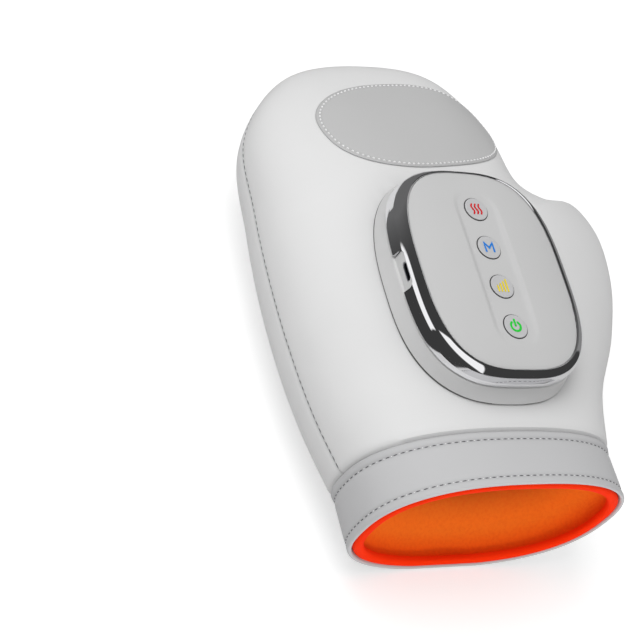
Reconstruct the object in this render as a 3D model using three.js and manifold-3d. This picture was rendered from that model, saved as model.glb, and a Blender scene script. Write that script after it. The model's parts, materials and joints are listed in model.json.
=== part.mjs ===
// Hand massager: a padded mitten with air bags and heating films, and a control pod on the back of the hand.
// Millimetres, +Z up. The origin is on the flat palm side, straight below the row of buttons.
// +Y points to the fingertips, the wrist opening faces -Y and the thumb is at +X.
import * as THREE from "three";
import { mergeVertices } from "three/addons/utils/BufferGeometryUtils.js";
import Module from "manifold-3d";

const wasm = await Module();
wasm.setup();

// Clearances
const seatGap = 0.3; // between a piece and what carries it
const cutOverrun = 4; // how far a cut runs past the face that it opens

// Padded body: its outline in plan follows these sizes
const bodySpan = 188.8; // across, from the little finger's side to the thumb
const bodyLength = 223.8; // from the cuff seam to the fingertips
const cuffSeamY = -73;
const mouthY = -95.5;
const cuffHalfWidth = 66;
const mouthHalfWidth = 64.8;
const fanCentreShare = 0.4155; // of the body's length: beyond it the sections fan out round one centre
// Little finger's side, fingertips, then the thumb, back to the cuff: across as shares of bodySpan,
// and forward from the cuff seam as shares of bodyLength
const outlineShares = [
  [-0.3845, 0.1385],
  [-0.402, 0.2905],
  [-0.4057, 0.4513],
  [-0.396, 0.615],
  [-0.371, 0.79],
  [-0.221, 0.9486],
  [0, 1],
  [0.2076, 0.982],
  [0.3305, 0.847],
  [0.369, 0.691],
  [0.45, 0.652],
  [0.546, 0.649],
  [0.594, 0.575],
  [0.58, 0.438],
  [0.507, 0.2905],
  [0.402, 0.1475],
];

// Padded body: heights over and under the side seam
const seamHeight = 42.8;
const backRise = 43.5;
const palmDrop = 44.2;
const cuffRise = 39;
const cuffDrop = 40.1;
const mouthRise = 42.1;
const mouthDrop = 43.6;
const swellLength = 70; // from the cuff seam to the full height
const sectionPower = 2.45; // 2 would be an ellipse
const tipTaperShare = 0.259; // height lost at the fingertips
const tipTaperStart = 10;
const tipTaperEnd = 160;
const thumbTaperShare = 0.21; // height lost at the thumb
const thumbTaperStart = 45;
const thumbTaperEnd = 115;
const thumbTaperRamp = 63;

// Layers from the outside in
const leatherThickness = 2;
const foamThickness = 7.2;
const bagThickness = 9;
const filmThickness = 0.8;
const liningThickness = 1.6;
const foamOuter = leatherThickness + seatGap;
const foamInner = foamOuter + foamThickness;
const bagOuter = foamInner + seatGap;
const bagInner = bagOuter + bagThickness;
const filmOuter = bagInner + seatGap;
const filmInner = filmOuter + filmThickness;
const liningOuter = filmInner + seatGap;
const liningInner = liningOuter + liningThickness;
const bagMiddle = (bagOuter + bagInner) / 2;

// Cuff band and mouth
const cuffThickness = 2;
const cuffLip = 1.6; // how far the folded edge rounds over
const tuckInset = cuffThickness + seatGap; // the covers go on under the cuff
const tuckLength = 7;
const tuckRamp = 2.5;
const foldRise = 3.7; // the cuff's upper edge is this far past its stitched seam
const rimWidth = 5;
const rimDepth = 3;
const rimLip = 1.1;
// A rounded edge: shares of the wall's thickness and of the lip's depth
const lipShares = [
  [0, 1],
  [0.15, 0.3],
  [0.5, 0],
  [0.85, 0.3],
  [1, 1],
];
const liningStart = mouthY + rimDepth + seatGap;
const liningMouthInset = tuckInset + leatherThickness + seatGap;

// Control pod: its outline is the face plate's, grown or shrunk.
// Heights named rise are over the top of the body.
const backZ = seamHeight + backRise;
const podCentreY = 0.4;
const plateHalfWidth = 36.8;
const plateHalfLength = 50.2;
const podPower = 3;
const endTrim = 2.1; // the ring and what is wider stand this much less past the plate's two ends
const plateEdgeRise = 13.4;
const plateEdgeZ = backZ + plateEdgeRise;
const plateCrown = 3.2;
const crownPower = 3.4;
const domeShares = [0.985, 0.9, 0.78, 0.62, 0.4]; // where the crown's height is taken, from the edge inwards
const plateWall = 2;
const plateInnerRise = 12.6;
const plateInnerZ = backZ + plateInnerRise;
const edgeBevel = 0.3;
const channelRise = 15.1;
const channelZ = backZ + channelRise;
const channelHalfWidth = 10.4;

// Plan sizes of the pieces between the layers
const tipY = cuffSeamY + bodyLength;
const foamStartY = -64;
const foamRoom = 3.8; // between the foam and the clamp frame
const bagWidthShare = 0.519; // of the body's span
const bagLengthShare = 0.8534; // of the body's length, up to the bags' far edge
const bagSplitGap = 6;
const bagHalfWidth = (bagWidthShare * bodySpan) / 2;
const bagStartY = podCentreY - plateHalfLength;
const bagSplitY = podCentreY + plateHalfLength;
const bagEndY = cuffSeamY + bagLengthShare * bodyLength;
const filmWidthShare = 0.466;
const filmLengthShare = 0.791;
const filmOverhang = 6; // past the bag's edge at the wrist
const filmHalfWidth = (filmWidthShare * bodySpan) / 2;
const filmStartY = bagStartY - filmOverhang;
const flareEndGap = 6.2; // the lining has narrowed to the hand room by here, before the films
const flareLength = filmStartY - flareEndGap - liningStart;
const filmEndY = cuffSeamY + filmLengthShare * bodyLength;
const patchWidthShare = 0.5424;
const patchAcrossShare = 0.0222; // its centre, to the thumb's side
const patchPodGap = 9.2; // from the pod's foot
const patchTipGap = 24.2; // from the fingertips
const patchTurn = THREE.MathUtils.degToRad(10);
const patchPower = 2.36;
const patchThickness = 0.9;

// Chrome ring
const ringBottomRise = 3.6;
const ringBottomZ = backZ + ringBottomRise;
const ringEdgeRise = 10.2;
const ringEdgeZ = backZ + ringEdgeRise;
const ringWidth = 5.1;
const ringLipRise = 0.2;

// Pod base: pedestal over the leather and tub through it
const baseTopZ = ringBottomZ - seatGap;
const stepGrowth = 6;
const footGrowth = 10.3;
const footPower = 2.5; // the foot has rounder corners than the ring
const footSideTrim = 1.5; // and stands this much less past the ring's two sides
const footRise = -3.5;
const footZ = backZ + footRise;
const skirtFloorRise = -14.3;
const skirtFloorZ = backZ + skirtFloorRise;
const skirtFloorGrowth = 12.8;
const tubGrowth = -2.3;
const tubWall = 2;
const tubBottomRise = -14.8;
const tubBottomZ = backZ + tubBottomRise;
const tubFloorZ = tubBottomZ + tubWall;
const shelfRise = 0.7;
const shelfZ = backZ + shelfRise;
const shelfGrowth = seatGap;
const leatherHoleGrowth = -1.3;
const bagHoleGrowth = -1.5;

// Charging socket and its recess in the thumbless side
const portY = 0.3;
const portWidth = 9.4;
const portHeight = 3.6;
const socketLength = 9.6;
const socketWall = 0.35;
const socketBack = 1;
const tongueWidth = 6.7;
const tongueThickness = 0.8;
const tongueSetback = 1;
const recessY = 1.3;
const recessHalfLength = 9.2;
const recessHalfHeight = 2.4;
const recessDepth = 0.5;
const recessFaceX = -(plateHalfWidth + ringWidth - recessDepth);
const padThickness = 1.7;
const padSink = 1.2; // how far the pad goes down into the pedestal

// Clamp frame under the leather, with its screws
const frameBottomRise = -9.9;
const frameBottomZ = backZ + frameBottomRise;
const frameInnerGrowth = -1.9;
const frameOuterGrowth = 7.9;
const screwAcrossShare = 0.87; // of the plate's half width
const screwAlongShare = 0.83; // of the plate's half length
const screwRadius = 1.4;
const screwHeadRadius = 2.6;
const screwHeadHeight = 1.8;
const screwTopRise = -0.1;
const screwTopZ = backZ + screwTopRise;
const clampHeadZ = frameBottomZ - seatGap - screwHeadHeight;

// Circuit board
const boardTopRise = 6.1;
const boardTopZ = backZ + boardTopRise;
const boardThickness = 1.6;
const boardGrowth = -2.4;
const boardBottomZ = boardTopZ - boardThickness;
const boardScrewAcrossShare = 0.69;
const boardScrewAlongShare = 0.695;
const boardScrewRadius = 0.9;
const boardScrewHeadRadius = 1.9;
const boardScrewHeadHeight = 1.2;
const boardScrewLength = 4.5;
const bossRadius = 2.4;
const bossHeight = 5.5;
const portZ = boardTopZ + seatGap + portHeight / 2 - seatGap / 2;

// Buttons and their switches
const buttonNames = ["heat", "mode", "level", "power"];
const buttonPitchShare = 0.3984; // of the plate's half length
const buttonPitch = buttonPitchShare * plateHalfLength;
const buttonRadius = 5.8;
const buttonProud = 0.5;
const buttonFlangeRadius = 7;
const buttonFlangeThickness = 1;
const buttonTravel = 0.5;
const buttonStemRadius = 1.6;
const switchSide = 6;
const switchHeight = 2.5;
const plungerRadius = 1.7;
const plungerRise = 0.9;
const plungerSink = 1.1;

// Pump and its motor, along Y
const pumpAcrossShare = 0.3804; // shares of the plate's half width and half length
const pumpWidthShare = 0.522;
const pumpBackShare = 0.536;
const canShare = 0.496;
const housingShare = 0.357;
const pumpHeadShare = 0.159;
const pumpX = pumpAcrossShare * plateHalfWidth;
const pumpWidth = pumpWidthShare * plateHalfWidth;
const pumpHeight = 14.6;
const pumpBackY = -pumpBackShare * plateHalfLength;
const canLength = canShare * plateHalfLength;
const canWall = 1.5;
const rotorRadius = 5.8;
const rotorShare = 0.68; // of the can's length
const rotorLength = rotorShare * canLength;
const shaftRadius = 1;
const endCapThickness = 1.7;
const housingLength = housingShare * plateHalfLength;
const housingWall = 2;
const chamberRadius = 6.2;
const crankRadius = 5.2;
const crankThickness = 3;
const crankPinRadius = 1;
const crankThrow = 3.2;
const diaphragmThickness = 1.5;
const pumpHeadLength = pumpHeadShare * plateHalfLength;
const nozzleRadius = 1.7;
const nozzleLength = 2.5;
const nozzleReach = 1.5; // of the valves

// Battery cell
const cellAcrossShare = 0.431;
const cellWidthShare = 0.757;
const cellLengthShare = 0.952;
const cellX = -cellAcrossShare * plateHalfWidth;
const cellWidth = cellWidthShare * plateHalfWidth;
const cellLength = cellLengthShare * plateHalfLength;
const cellThickness = 10;
const cellCorner = 3;

// Air valves
const valveNames = ["fingers", "palm"];
const valveAcrossShare = 0.313;
const valveSideShare = 0.218; // of the plate's half length
const valveWallGap = 7;
const valveX = -valveAcrossShare * plateHalfWidth;
const valveSide = valveSideShare * plateHalfLength;
const valveY = plateHalfLength + tubGrowth - tubWall - valveWallGap - valveSide / 2;
const valveHeight = 14.8;
const valvePlungerRadius = 2;
const valvePlungerLength = 8;
const valveTravel = 1;
const valveLinkRise = -0.2;
const valveLinkZ = backZ + valveLinkRise;
const valveOutletRise = -9.3;
const valveOutletZ = backZ + valveOutletRise;

// Hoses and leads
const hoseRadius = 2;
const hoseSides = 8;
const hoseStraight = 2.5; // straight run at a hose's end
const hoseSwing = 5; // how far the pump's hose swings out
const fingerHoseGap = 3.2; // from the clamp frame to the hose's middle
const fingerHoseY = podCentreY + plateHalfLength + frameOuterGrowth - endTrim + fingerHoseGap;
const leadRadius = 0.8;
const leadSides = 6;
const leadBend = 2.6;
const leadStraight = 1;
const leadEntryRise = -11.1;
const leadEntryZ = backZ + leadEntryRise;
const topLeadShare = 0.13; // where the heater leads enter the tub, across
const bottomLeadShare = -0.105;
const leadElevationShares = [-0.69, -0.53, -0.39, -0.24, -0.1, 0.06, 0.21, 0.37, 0.52, 0.67, 0.82];
const leadPlaces = [topLeadShare * plateHalfWidth, bottomLeadShare * plateHalfWidth];

// Counts of facets
const reachTolerance = 0.001;
const stepsPerOutlinePoint = 20;
const quarterTurn = Math.PI / 2;
const elevationShares = [0, 0.1, 0.25, 0.43, 0.63, 0.84, 1]; // of a quarter turn, closer at the seam
const layerElevations = [
  ...elevationShares.slice(1).reverse().map((share) => -share * quarterTurn),
  ...elevationShares.map((share) => share * quarterTurn),
];
const thumbFanSteps = 10;
const thumbFanAngle = THREE.MathUtils.degToRad(50);
const tipFanSteps = 14;
const hoseSteps = 14;
const leadSteps = 20;
const longLeadSteps = 32;
const bandSteps = 20;
const bandElevations = Array.from({ length: bandSteps + 1 }, (_, i) => (2 * i / bandSteps - 1) * quarterTurn);
const podSteps = 40;
const roundSteps = 18;
const smallRoundSteps = 12;
const smallRadius = 3.2; // rods up to this radius get the smaller count

// Materials
const finishes = {
  leather: [0xe2e2e2, 0.5, 0],
  patch: [0xb9b9b9, 0.6, 0],
  cuff: [0xc6c6c7, 0.55, 0],
  orange: [0xf2410c, 0.7, 0],
  foam: [0xd8d4c8, 0.9, 0],
  bladder: [0x8a8f96, 0.5, 0],
  film: [0x3a2a20, 0.5, 0],
  shell: [0xcfcfcf, 0.45, 0],
  chrome: [0xe8e8ea, 0.08, 1],
  plate: [0xcbcbcb, 0.5, 0],
  button: [0xc0c0c2, 0.45, 0],
  steel: [0xa8aab0, 0.35, 1],
  darkPlastic: [0x26282b, 0.6, 0],
  board: [0x1f6b3a, 0.5, 0],
  cell: [0x3f6fae, 0.4, 0],
  rubber: [0x2a2a2a, 0.8, 0],
  brass: [0xb8913f, 0.35, 1],
  hose: [0xd9dde0, 0.5, 0],
  lead: [0xb3261e, 0.6, 0],
};
const materials = Object.fromEntries(
  Object.entries(finishes).map(([name, [color, roughness, metalness]]) => [
    name,
    new THREE.MeshStandardMaterial({ color, roughness, metalness }),
  ]),
);

const massager = new THREE.Group();

// Adds one named piece; a moved copy of a shape is placed by its position.
function addPiece(name, geometry, finish, position = [0, 0, 0]) {
  const mesh = new THREE.Mesh(geometry, materials[finish]);
  mesh.name = name;
  mesh.position.set(...position);
  massager.add(mesh);
  return mesh;
}

// Solids and geometry

// A closed three.js geometry as a solid that can be cut and joined.
function solidOf(geometry) {
  const bare = geometry.index ? geometry.toNonIndexed() : geometry.clone();
  bare.deleteAttribute("normal");
  bare.deleteAttribute("uv");
  bare.clearGroups();
  const merged = mergeVertices(bare);
  const corners = merged.index.array;
  const kept = [];
  for (let i = 0; i < corners.length; i += 3) {
    const [a, b, c] = corners.slice(i, i + 3);
    if (a !== b && b !== c && c !== a) kept.push(a, b, c);
  }
  return new wasm.Manifold(
    new wasm.Mesh({
      numProp: 3,
      vertProperties: new Float32Array(merged.attributes.position.array),
      triVerts: new Uint32Array(kept),
    }),
  );
}

function geometryOf(solid) {
  const { vertProperties, triVerts } = solid.getMesh();
  const geometry = new THREE.BufferGeometry();
  geometry.setAttribute("position", new THREE.BufferAttribute(new Float32Array(vertProperties), 3));
  geometry.setIndex(new THREE.BufferAttribute(new Uint32Array(triVerts), 1));
  geometry.computeVertexNormals();
  return geometry;
}

function trianglesGeometry(points) {
  const geometry = new THREE.BufferGeometry();
  geometry.setAttribute("position", new THREE.Float32BufferAttribute(points.flat(), 3));
  return geometry;
}

// Two triangles for each cell between neighbouring rings of points.
function wallTriangles(rings, ringsClose) {
  const triangles = [];
  const last = ringsClose ? rings.length : rings.length - 1;
  for (let i = 0; i < last; i++) {
    const low = rings[i];
    const high = rings[(i + 1) % rings.length];
    for (let j = 0; j < low.length; j++) {
      const k = (j + 1) % low.length;
      triangles.push(low[j], low[k], high[k], low[j], high[k], high[j]);
    }
  }
  return triangles;
}

function capTriangles(ring, facesForward) {
  const middle = [0, 1, 2].map((axis) => ring.reduce((sum, p) => sum + p[axis], 0) / ring.length);
  return ring.flatMap((p, j) => {
    const q = ring[(j + 1) % ring.length];
    return facesForward ? [middle, p, q] : [middle, q, p];
  });
}

// A closed solid through a stack of rings; each ring runs anticlockwise seen from the last ring's side.
function loft(rings) {
  return trianglesGeometry([
    ...capTriangles(rings[0], false),
    ...wallTriangles(rings, false),
    ...capTriangles(rings[rings.length - 1], true),
  ]);
}

function boxGeometry(size, centre) {
  return new THREE.BoxGeometry(...size).translate(...centre);
}

function rodGeometry(radius, length, centre, axis = "z") {
  const sides = radius > smallRadius ? roundSteps : smallRoundSteps;
  const rod = new THREE.CylinderGeometry(radius, radius, length, sides);
  if (axis === "z") rod.rotateX(Math.PI / 2);
  if (axis === "x") rod.rotateZ(Math.PI / 2);
  return rod.translate(...centre);
}

// A turned piece about Z, from its outline of radius and height going up the axis.
function turnedGeometry(outline, sides) {
  const points = outline.map(([radius, height]) => new THREE.Vector2(radius, height));
  return new THREE.LatheGeometry(points, sides).rotateX(Math.PI / 2);
}

// A bar with round long ends, along Y, extruded along X from x to x + length.
function stadiumBar(halfLength, halfHeight, x, length, y, z) {
  const shape = new THREE.Shape();
  const straight = halfLength - halfHeight;
  shape.absarc(straight, 0, halfHeight, -Math.PI / 2, Math.PI / 2, false);
  shape.absarc(-straight, 0, halfHeight, Math.PI / 2, (3 * Math.PI) / 2, false);
  const bar = new THREE.ExtrudeGeometry(shape, { depth: length, bevelEnabled: false, curveSegments: 6 });
  return bar.rotateX(Math.PI / 2).rotateZ(Math.PI / 2).translate(x, y, z);
}

function tubeGeometry(points, radius, sides, steps) {
  const path = new THREE.CatmullRomCurve3(
    points.map((p) => new THREE.Vector3(...p)),
    false,
    "centripetal",
  );
  const section = new THREE.Shape();
  section.absarc(0, 0, radius, 0, 2 * Math.PI, false);
  const curveSegments = sides / 2;
  return new THREE.ExtrudeGeometry(section, { steps, extrudePath: path, bevelEnabled: false, curveSegments });
}

// Padded body

const fanY = cuffSeamY + fanCentreShare * bodyLength;
const outlineCurve = new THREE.CatmullRomCurve3(
  [
    [-cuffHalfWidth, cuffSeamY],
    ...outlineShares.map(([across, forward]) => [across * bodySpan, cuffSeamY + forward * bodyLength]),
    [cuffHalfWidth, cuffSeamY],
  ].map(([x, y]) => new THREE.Vector3(x, y, 0)),
  false,
  "centripetal",
);
const outlineSteps = stepsPerOutlinePoint * outlineShares.length;
const outline = [
  new THREE.Vector2(-mouthHalfWidth, mouthY - cutOverrun),
  new THREE.Vector2(-mouthHalfWidth, mouthY),
  ...outlineCurve.getPoints(outlineSteps).map((p) => new THREE.Vector2(p.x, p.y)),
  new THREE.Vector2(mouthHalfWidth, mouthY),
  new THREE.Vector2(mouthHalfWidth, mouthY - cutOverrun),
];
const fanCentre = new THREE.Vector2(0, fanY);

function smoothStep(low, high, value) {
  return THREE.MathUtils.smoothstep(value, low, high);
}

function distanceToOutline(point) {
  let nearest = Infinity;
  for (let i = 1; i < outline.length; i++) {
    const start = outline[i - 1];
    const along = outline[i].clone().sub(start);
    const share = THREE.MathUtils.clamp(point.clone().sub(start).dot(along) / along.lengthSq(), 0, 1);
    nearest = Math.min(nearest, along.multiplyScalar(share).add(start).distanceTo(point));
  }
  return nearest;
}

// Where a ray from a point inside meets the outline.
function outlineHit(from, direction) {
  for (let i = 1; i < outline.length; i++) {
    const start = outline[i - 1].clone().sub(from);
    const along = outline[i].clone().sub(outline[i - 1]);
    const turn = direction.cross(along);
    if (turn === 0) continue;
    const reach = start.cross(along) / turn;
    const share = start.cross(direction) / turn;
    if (reach > 0 && share >= 0 && share <= 1) return reach;
  }
  return 0;
}

// The distance from a point inside to the outline moved in by inset, along a direction.
function reachInside(from, direction, inset) {
  let reach = outlineHit(from, direction);
  if (inset <= 0) return reach - inset;
  for (let i = 0; i < 2 * outline.length; i++) {
    const short = inset - distanceToOutline(direction.clone().multiplyScalar(reach).add(from));
    if (short < reachTolerance) break;
    reach -= short;
  }
  return reach;
}

// Half height over or under the seam at y.
function halfHeight(y, isTop) {
  const [full, cuff, mouth] = isTop ? [backRise, cuffRise, mouthRise] : [palmDrop, cuffDrop, mouthDrop];
  const atCuff = THREE.MathUtils.mapLinear(Math.min(y, cuffSeamY), mouthY, cuffSeamY, mouth, cuff);
  return THREE.MathUtils.lerp(atCuff, full, smoothStep(cuffSeamY, cuffSeamY + swellLength, y));
}

function taperShare(x, y) {
  const thumb = smoothStep(thumbTaperStart, thumbTaperEnd, x) * smoothStep(cuffSeamY, cuffSeamY + thumbTaperRamp, y);
  return (1 - thumbTaperShare * thumb) * (1 - tipTaperShare * smoothStep(tipTaperStart, tipTaperEnd, y));
}

// The height of the body moved in by inset, over or under the point x, y.
function heightAt(x, y, inset, isTop) {
  const from = new THREE.Vector2(0, Math.min(y, fanY));
  const offset = new THREE.Vector2(x, y).sub(from);
  const reach = reachInside(from, offset.clone().normalize(), inset);
  const lift = Math.pow(1 - Math.pow(offset.length() / reach, sectionPower), 1 / sectionPower);
  const rise = (halfHeight(from.y, isTop) - inset) * lift * (isTop ? 1 : -1);
  return Math.max(seamHeight + rise * taperShare(x, y), inset);
}

// A point of the body moved in by inset: elevation -90 degrees is the palm, 0 the seam and 90 the back.
// The palm side is flat where the body rests.
function bodyPoint(from, direction, reach, elevation, inset) {
  const isTop = elevation >= 0;
  const share = Math.pow(Math.max(Math.cos(elevation), 0), 2 / sectionPower);
  const lift = Math.pow(Math.abs(Math.sin(elevation)), 2 / sectionPower);
  const x = from.x + direction.x * reach * share;
  const y = from.y + direction.y * reach * share;
  const rise = (halfHeight(from.y, isTop) - inset) * lift * (isTop ? 1 : -1);
  return [x, y, Math.max(seamHeight + rise * taperShare(x, y), inset)];
}

const across = new THREE.Vector2(1, 0);

function meridian(from, direction, inset, elevations) {
  const reach = reachInside(from, direction, inset);
  return elevations.map((elevation) => bodyPoint(from, direction, reach, elevation, inset));
}

function joinHalves(thumbSide, otherSide) {
  return [...thumbSide, ...otherSide.slice(1, -1).reverse()];
}

// The closed ring of points round the body at y, seen from the wrist it runs anticlockwise.
function sectionRing(y, inset, elevations = layerElevations) {
  const from = new THREE.Vector2(0, y);
  const thumbSide = meridian(from, across, inset, elevations);
  const otherSide = meridian(from, across.clone().negate(), inset, elevations);
  return joinHalves(thumbSide, otherSide);
}

const tuckY = cuffSeamY + foldRise;
const stationShares = [0.13, 0.27, 0.44, 0.62, 0.81];
const stations = [
  THREE.MathUtils.lerp(mouthY, cuffSeamY, 1 / 2),
  cuffSeamY,
  tuckY,
  tuckY + tuckRamp,
  ...stationShares.map((share) => THREE.MathUtils.lerp(cuffSeamY, fanY, share)),
];

const fanAngles = [
  ...Array.from({ length: thumbFanSteps }, (_, i) => (thumbFanAngle * i) / thumbFanSteps),
  ...Array.from({ length: tipFanSteps + 1 }, (_, i) => THREE.MathUtils.lerp(thumbFanAngle, Math.PI, i / tipFanSteps)),
];

// The whole mitten moved in by insetAt(y), from startY to the fingertips.
function mittenSolid(insetAt, startY) {
  const fan = fanAngles.map((angle) => {
    const direction = new THREE.Vector2(Math.cos(angle), Math.sin(angle));
    return meridian(fanCentre, direction, insetAt(fanY), layerElevations);
  });
  const rows = [startY, ...stations.filter((y) => y > startY + seatGap)];
  const rings = rows.map((y) => sectionRing(y, insetAt(y)));
  rings.push(joinHalves(fan[0], fan[fan.length - 1]));
  const triangles = [...capTriangles(rings[0], true), ...wallTriangles(rings, false).reverse()];
  for (let i = 0; i < fan.length - 1; i++) {
    for (let j = 0; j < layerElevations.length - 1; j++) {
      const [a, b, c, d] = [fan[i][j], fan[i + 1][j], fan[i + 1][j + 1], fan[i][j + 1]];
      triangles.push(a, b, c, a, c, d);
    }
  }
  return solidOf(trianglesGeometry(triangles));
}

const evenInset = (inset) => () => inset;

function layerSolid(outer, inner, startY) {
  const inside = mittenSolid(evenInset(inner), startY - cutOverrun);
  return mittenSolid(evenInset(outer), startY).subtract(inside);
}

// Half spaces over and under the side seam
const roomy = 2 * Math.max(bodySpan, bodyLength);
function seamHalf(isTop, gap) {
  const side = isTop ? 1 : -1;
  const centre = [0, 0, seamHeight + side * (roomy / 2 + gap / 2)];
  return solidOf(boxGeometry([roomy, roomy, roomy], centre));
}
const upperHalf = seamHalf(true, seatGap);
const lowerHalf = seamHalf(false, seatGap);

function planPrism(shape, lowZ, highZ) {
  const prism = new THREE.ExtrudeGeometry(shape, { depth: highZ - lowZ, bevelEnabled: false, curveSegments: 12 });
  return solidOf(prism.translate(0, 0, lowZ));
}

function rectangleShape(halfWidth, startY, endY) {
  const shape = new THREE.Shape();
  shape.moveTo(-halfWidth, startY);
  shape.lineTo(halfWidth, startY);
  shape.lineTo(halfWidth, endY);
  shape.lineTo(-halfWidth, endY);
  return shape;
}

// Control pod outline

function podOval(halfWidth, halfLength, power, z, steps = podSteps) {
  const bend = (value) => Math.sign(value) * Math.pow(Math.abs(value), 2 / power);
  return Array.from({ length: steps }, (_, i) => {
    const angle = (2 * Math.PI * i) / steps;
    return [halfWidth * bend(Math.cos(angle)), podCentreY + halfLength * bend(Math.sin(angle)), z];
  });
}

function podRing(growth, z, share = 1, steps = podSteps) {
  const endGrowth = growth - endTrim * THREE.MathUtils.clamp(growth / ringWidth, 0, 1);
  const halfWidth = (plateHalfWidth + growth) * share;
  return podOval(halfWidth, (plateHalfLength + endGrowth) * share, podPower, z, steps);
}

function skirtRing(growth, z) {
  const spread = THREE.MathUtils.clamp((growth - stepGrowth) / (footGrowth - stepGrowth), 0, 1);
  const halfWidth = plateHalfWidth + growth - footSideTrim * spread;
  const power = podPower + (footPower - podPower) * spread;
  return podOval(halfWidth, plateHalfLength + growth - endTrim, power, z);
}

function podLoft(levels) {
  return loft(levels.map(([growth, z]) => podRing(growth, z)));
}

function podPrism(growth, lowZ, highZ) {
  return solidOf(podLoft([[growth, lowZ], [growth, highZ]]));
}

const cornerSides = [[1, 1], [-1, 1], [-1, -1], [1, -1]];
const clampScrewPlaces = cornerSides.map(([a, b]) => [
  a * screwAcrossShare * plateHalfWidth,
  podCentreY + b * screwAlongShare * plateHalfLength,
]);
const bossPlaces = cornerSides.map(([a, b]) => [
  a * boardScrewAcrossShare * plateHalfWidth,
  podCentreY + b * boardScrewAlongShare * plateHalfLength,
]);
const boardScrewPlaces = bossPlaces.filter((_, i) => i % 2 === 0); // the other two bosses only carry the board

// Covers, patch, cuff and mouth

function coverInset(y) {
  return tuckInset * (1 - THREE.MathUtils.clamp((y - tuckY) / tuckRamp, 0, 1));
}

function makeCovers() {
  const startY = cuffSeamY - tuckLength;
  const outside = mittenSolid(coverInset, startY);
  const inside = mittenSolid((y) => coverInset(y) + leatherThickness, startY - cutOverrun);
  const leather = outside.subtract(inside);
  let top = leather.intersect(upperHalf).subtract(podPrism(leatherHoleGrowth, tubBottomZ, baseTopZ));
  for (const [x, y] of clampScrewPlaces) {
    const hole = rodGeometry(screwRadius + seatGap, screwTopZ, [x, y, screwTopZ]);
    top = top.subtract(solidOf(hole));
  }
  addPiece("cover_top", geometryOf(top), "leather");
  addPiece("cover_bottom", geometryOf(leather.intersect(lowerHalf)), "leather");
}

function ovalShape(halfWidth, halfLength, power, centre, turn) {
  const points = Array.from({ length: 2 * roundSteps }, (_, i) => {
    const angle = (Math.PI * i) / roundSteps;
    const bend = (value) => Math.sign(value) * Math.pow(Math.abs(value), 2 / power);
    const point = new THREE.Vector2(halfWidth * bend(Math.cos(angle)), halfLength * bend(Math.sin(angle)));
    return point.rotateAround(new THREE.Vector2(), turn).add(centre);
  });
  return new THREE.Shape(points);
}

// The patch lies on the leather: it is a skin between two outward moved copies of the body.
function makePatch() {
  const startY = podCentreY + plateHalfLength + footGrowth - endTrim + patchPodGap;
  const halfLength = (tipY - patchTipGap - startY) / 2;
  const centre = new THREE.Vector2(patchAcrossShare * bodySpan, startY + halfLength);
  const shape = ovalShape((patchWidthShare * bodySpan) / 2, halfLength, patchPower, centre, patchTurn);
  const skin = layerSolid(-seatGap - patchThickness, -seatGap, cuffSeamY);
  const prism = planPrism(shape, seamHeight, seamHeight + 2 * backRise);
  addPiece("finger_patch", geometryOf(skin.intersect(prism)), "patch");
}

// The rounded edge of a wall at the mouth, as points of inset and y.
function roundedLip(outer, thickness, depth) {
  return lipShares.map(([widthShare, depthShare]) => [outer + widthShare * thickness, mouthY + depthShare * depth]);
}

// A closed profile of inset and y, carried round the wrist end.
function wristBand(profile) {
  const rings = profile.map(([inset, y]) => sectionRing(y, inset, bandElevations));
  return trianglesGeometry(wallTriangles(rings, true));
}

function makeCuff() {
  addPiece(
    "cuff_band",
    wristBand([
      [seatGap, tuckY],
      [0, tuckY - cuffThickness / 2],
      [0, cuffSeamY],
      ...roundedLip(0, cuffThickness, cuffLip),
      [cuffThickness, cuffSeamY],
      [cuffThickness, tuckY - seatGap],
    ]),
    "cuff",
  );
}

function makeMouthRim() {
  const outer = cuffThickness + seatGap;
  const backY = mouthY + rimDepth;
  const profile = [[outer, backY], ...roundedLip(outer, rimWidth, rimLip), [outer + rimWidth, backY]];
  addPiece("mouth_rim", wristBand(profile), "orange");
}

function makeLining() {
  const flare = (y) => smoothStep(liningStart, liningStart + flareLength, y);
  const outer = (y) => THREE.MathUtils.lerp(liningMouthInset, liningOuter, flare(y));
  const outside = mittenSolid(outer, liningStart);
  const inside = mittenSolid((y) => outer(y) + liningThickness, liningStart - cutOverrun);
  addPiece("lining", geometryOf(outside.subtract(inside)), "orange");
}

// Padding, air bags and heating films

function makePadding() {
  const foam = layerSolid(foamOuter, foamInner, foamStartY);
  const podRoom = podPrism(frameOuterGrowth + foamRoom, tubBottomZ - foamInner, baseTopZ);
  const hoseWidth = 2 * (hoseRadius + seatGap);
  const hoseRoom = boxGeometry([hoseWidth, hoseWidth, seamHeight], [valveX, fingerHoseY, baseTopZ - seamHeight / 2]);
  const top = foam.intersect(upperHalf).subtract(podRoom).subtract(solidOf(hoseRoom));
  addPiece("foam_top", geometryOf(top), "foam");
  addPiece("foam_bottom", geometryOf(foam.intersect(lowerHalf)), "foam");
}

function makeAirBags() {
  const layer = layerSolid(bagOuter, bagInner, bagStartY - cutOverrun);
  const places = [
    ["hand", bagStartY, bagSplitY - bagSplitGap / 2],
    ["fingers", bagSplitY + bagSplitGap / 2, bagEndY],
  ];
  const tubRoom = podPrism(bagHoleGrowth, tubBottomZ - seatGap, baseTopZ);
  const frameRoom = podPrism(frameOuterGrowth, clampHeadZ - seatGap, baseTopZ);
  for (const [place, startY, endY] of places) {
    const prism = planPrism(rectangleShape(bagHalfWidth, startY, endY), 0, 2 * seamHeight);
    const bags = layer.intersect(prism);
    const upper = bags.intersect(upperHalf).subtract(tubRoom).subtract(frameRoom);
    addPiece("air_bag_" + place + "_top", geometryOf(upper), "bladder");
    addPiece("air_bag_" + place + "_bottom", geometryOf(bags.intersect(lowerHalf)), "bladder");
  }
}

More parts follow.
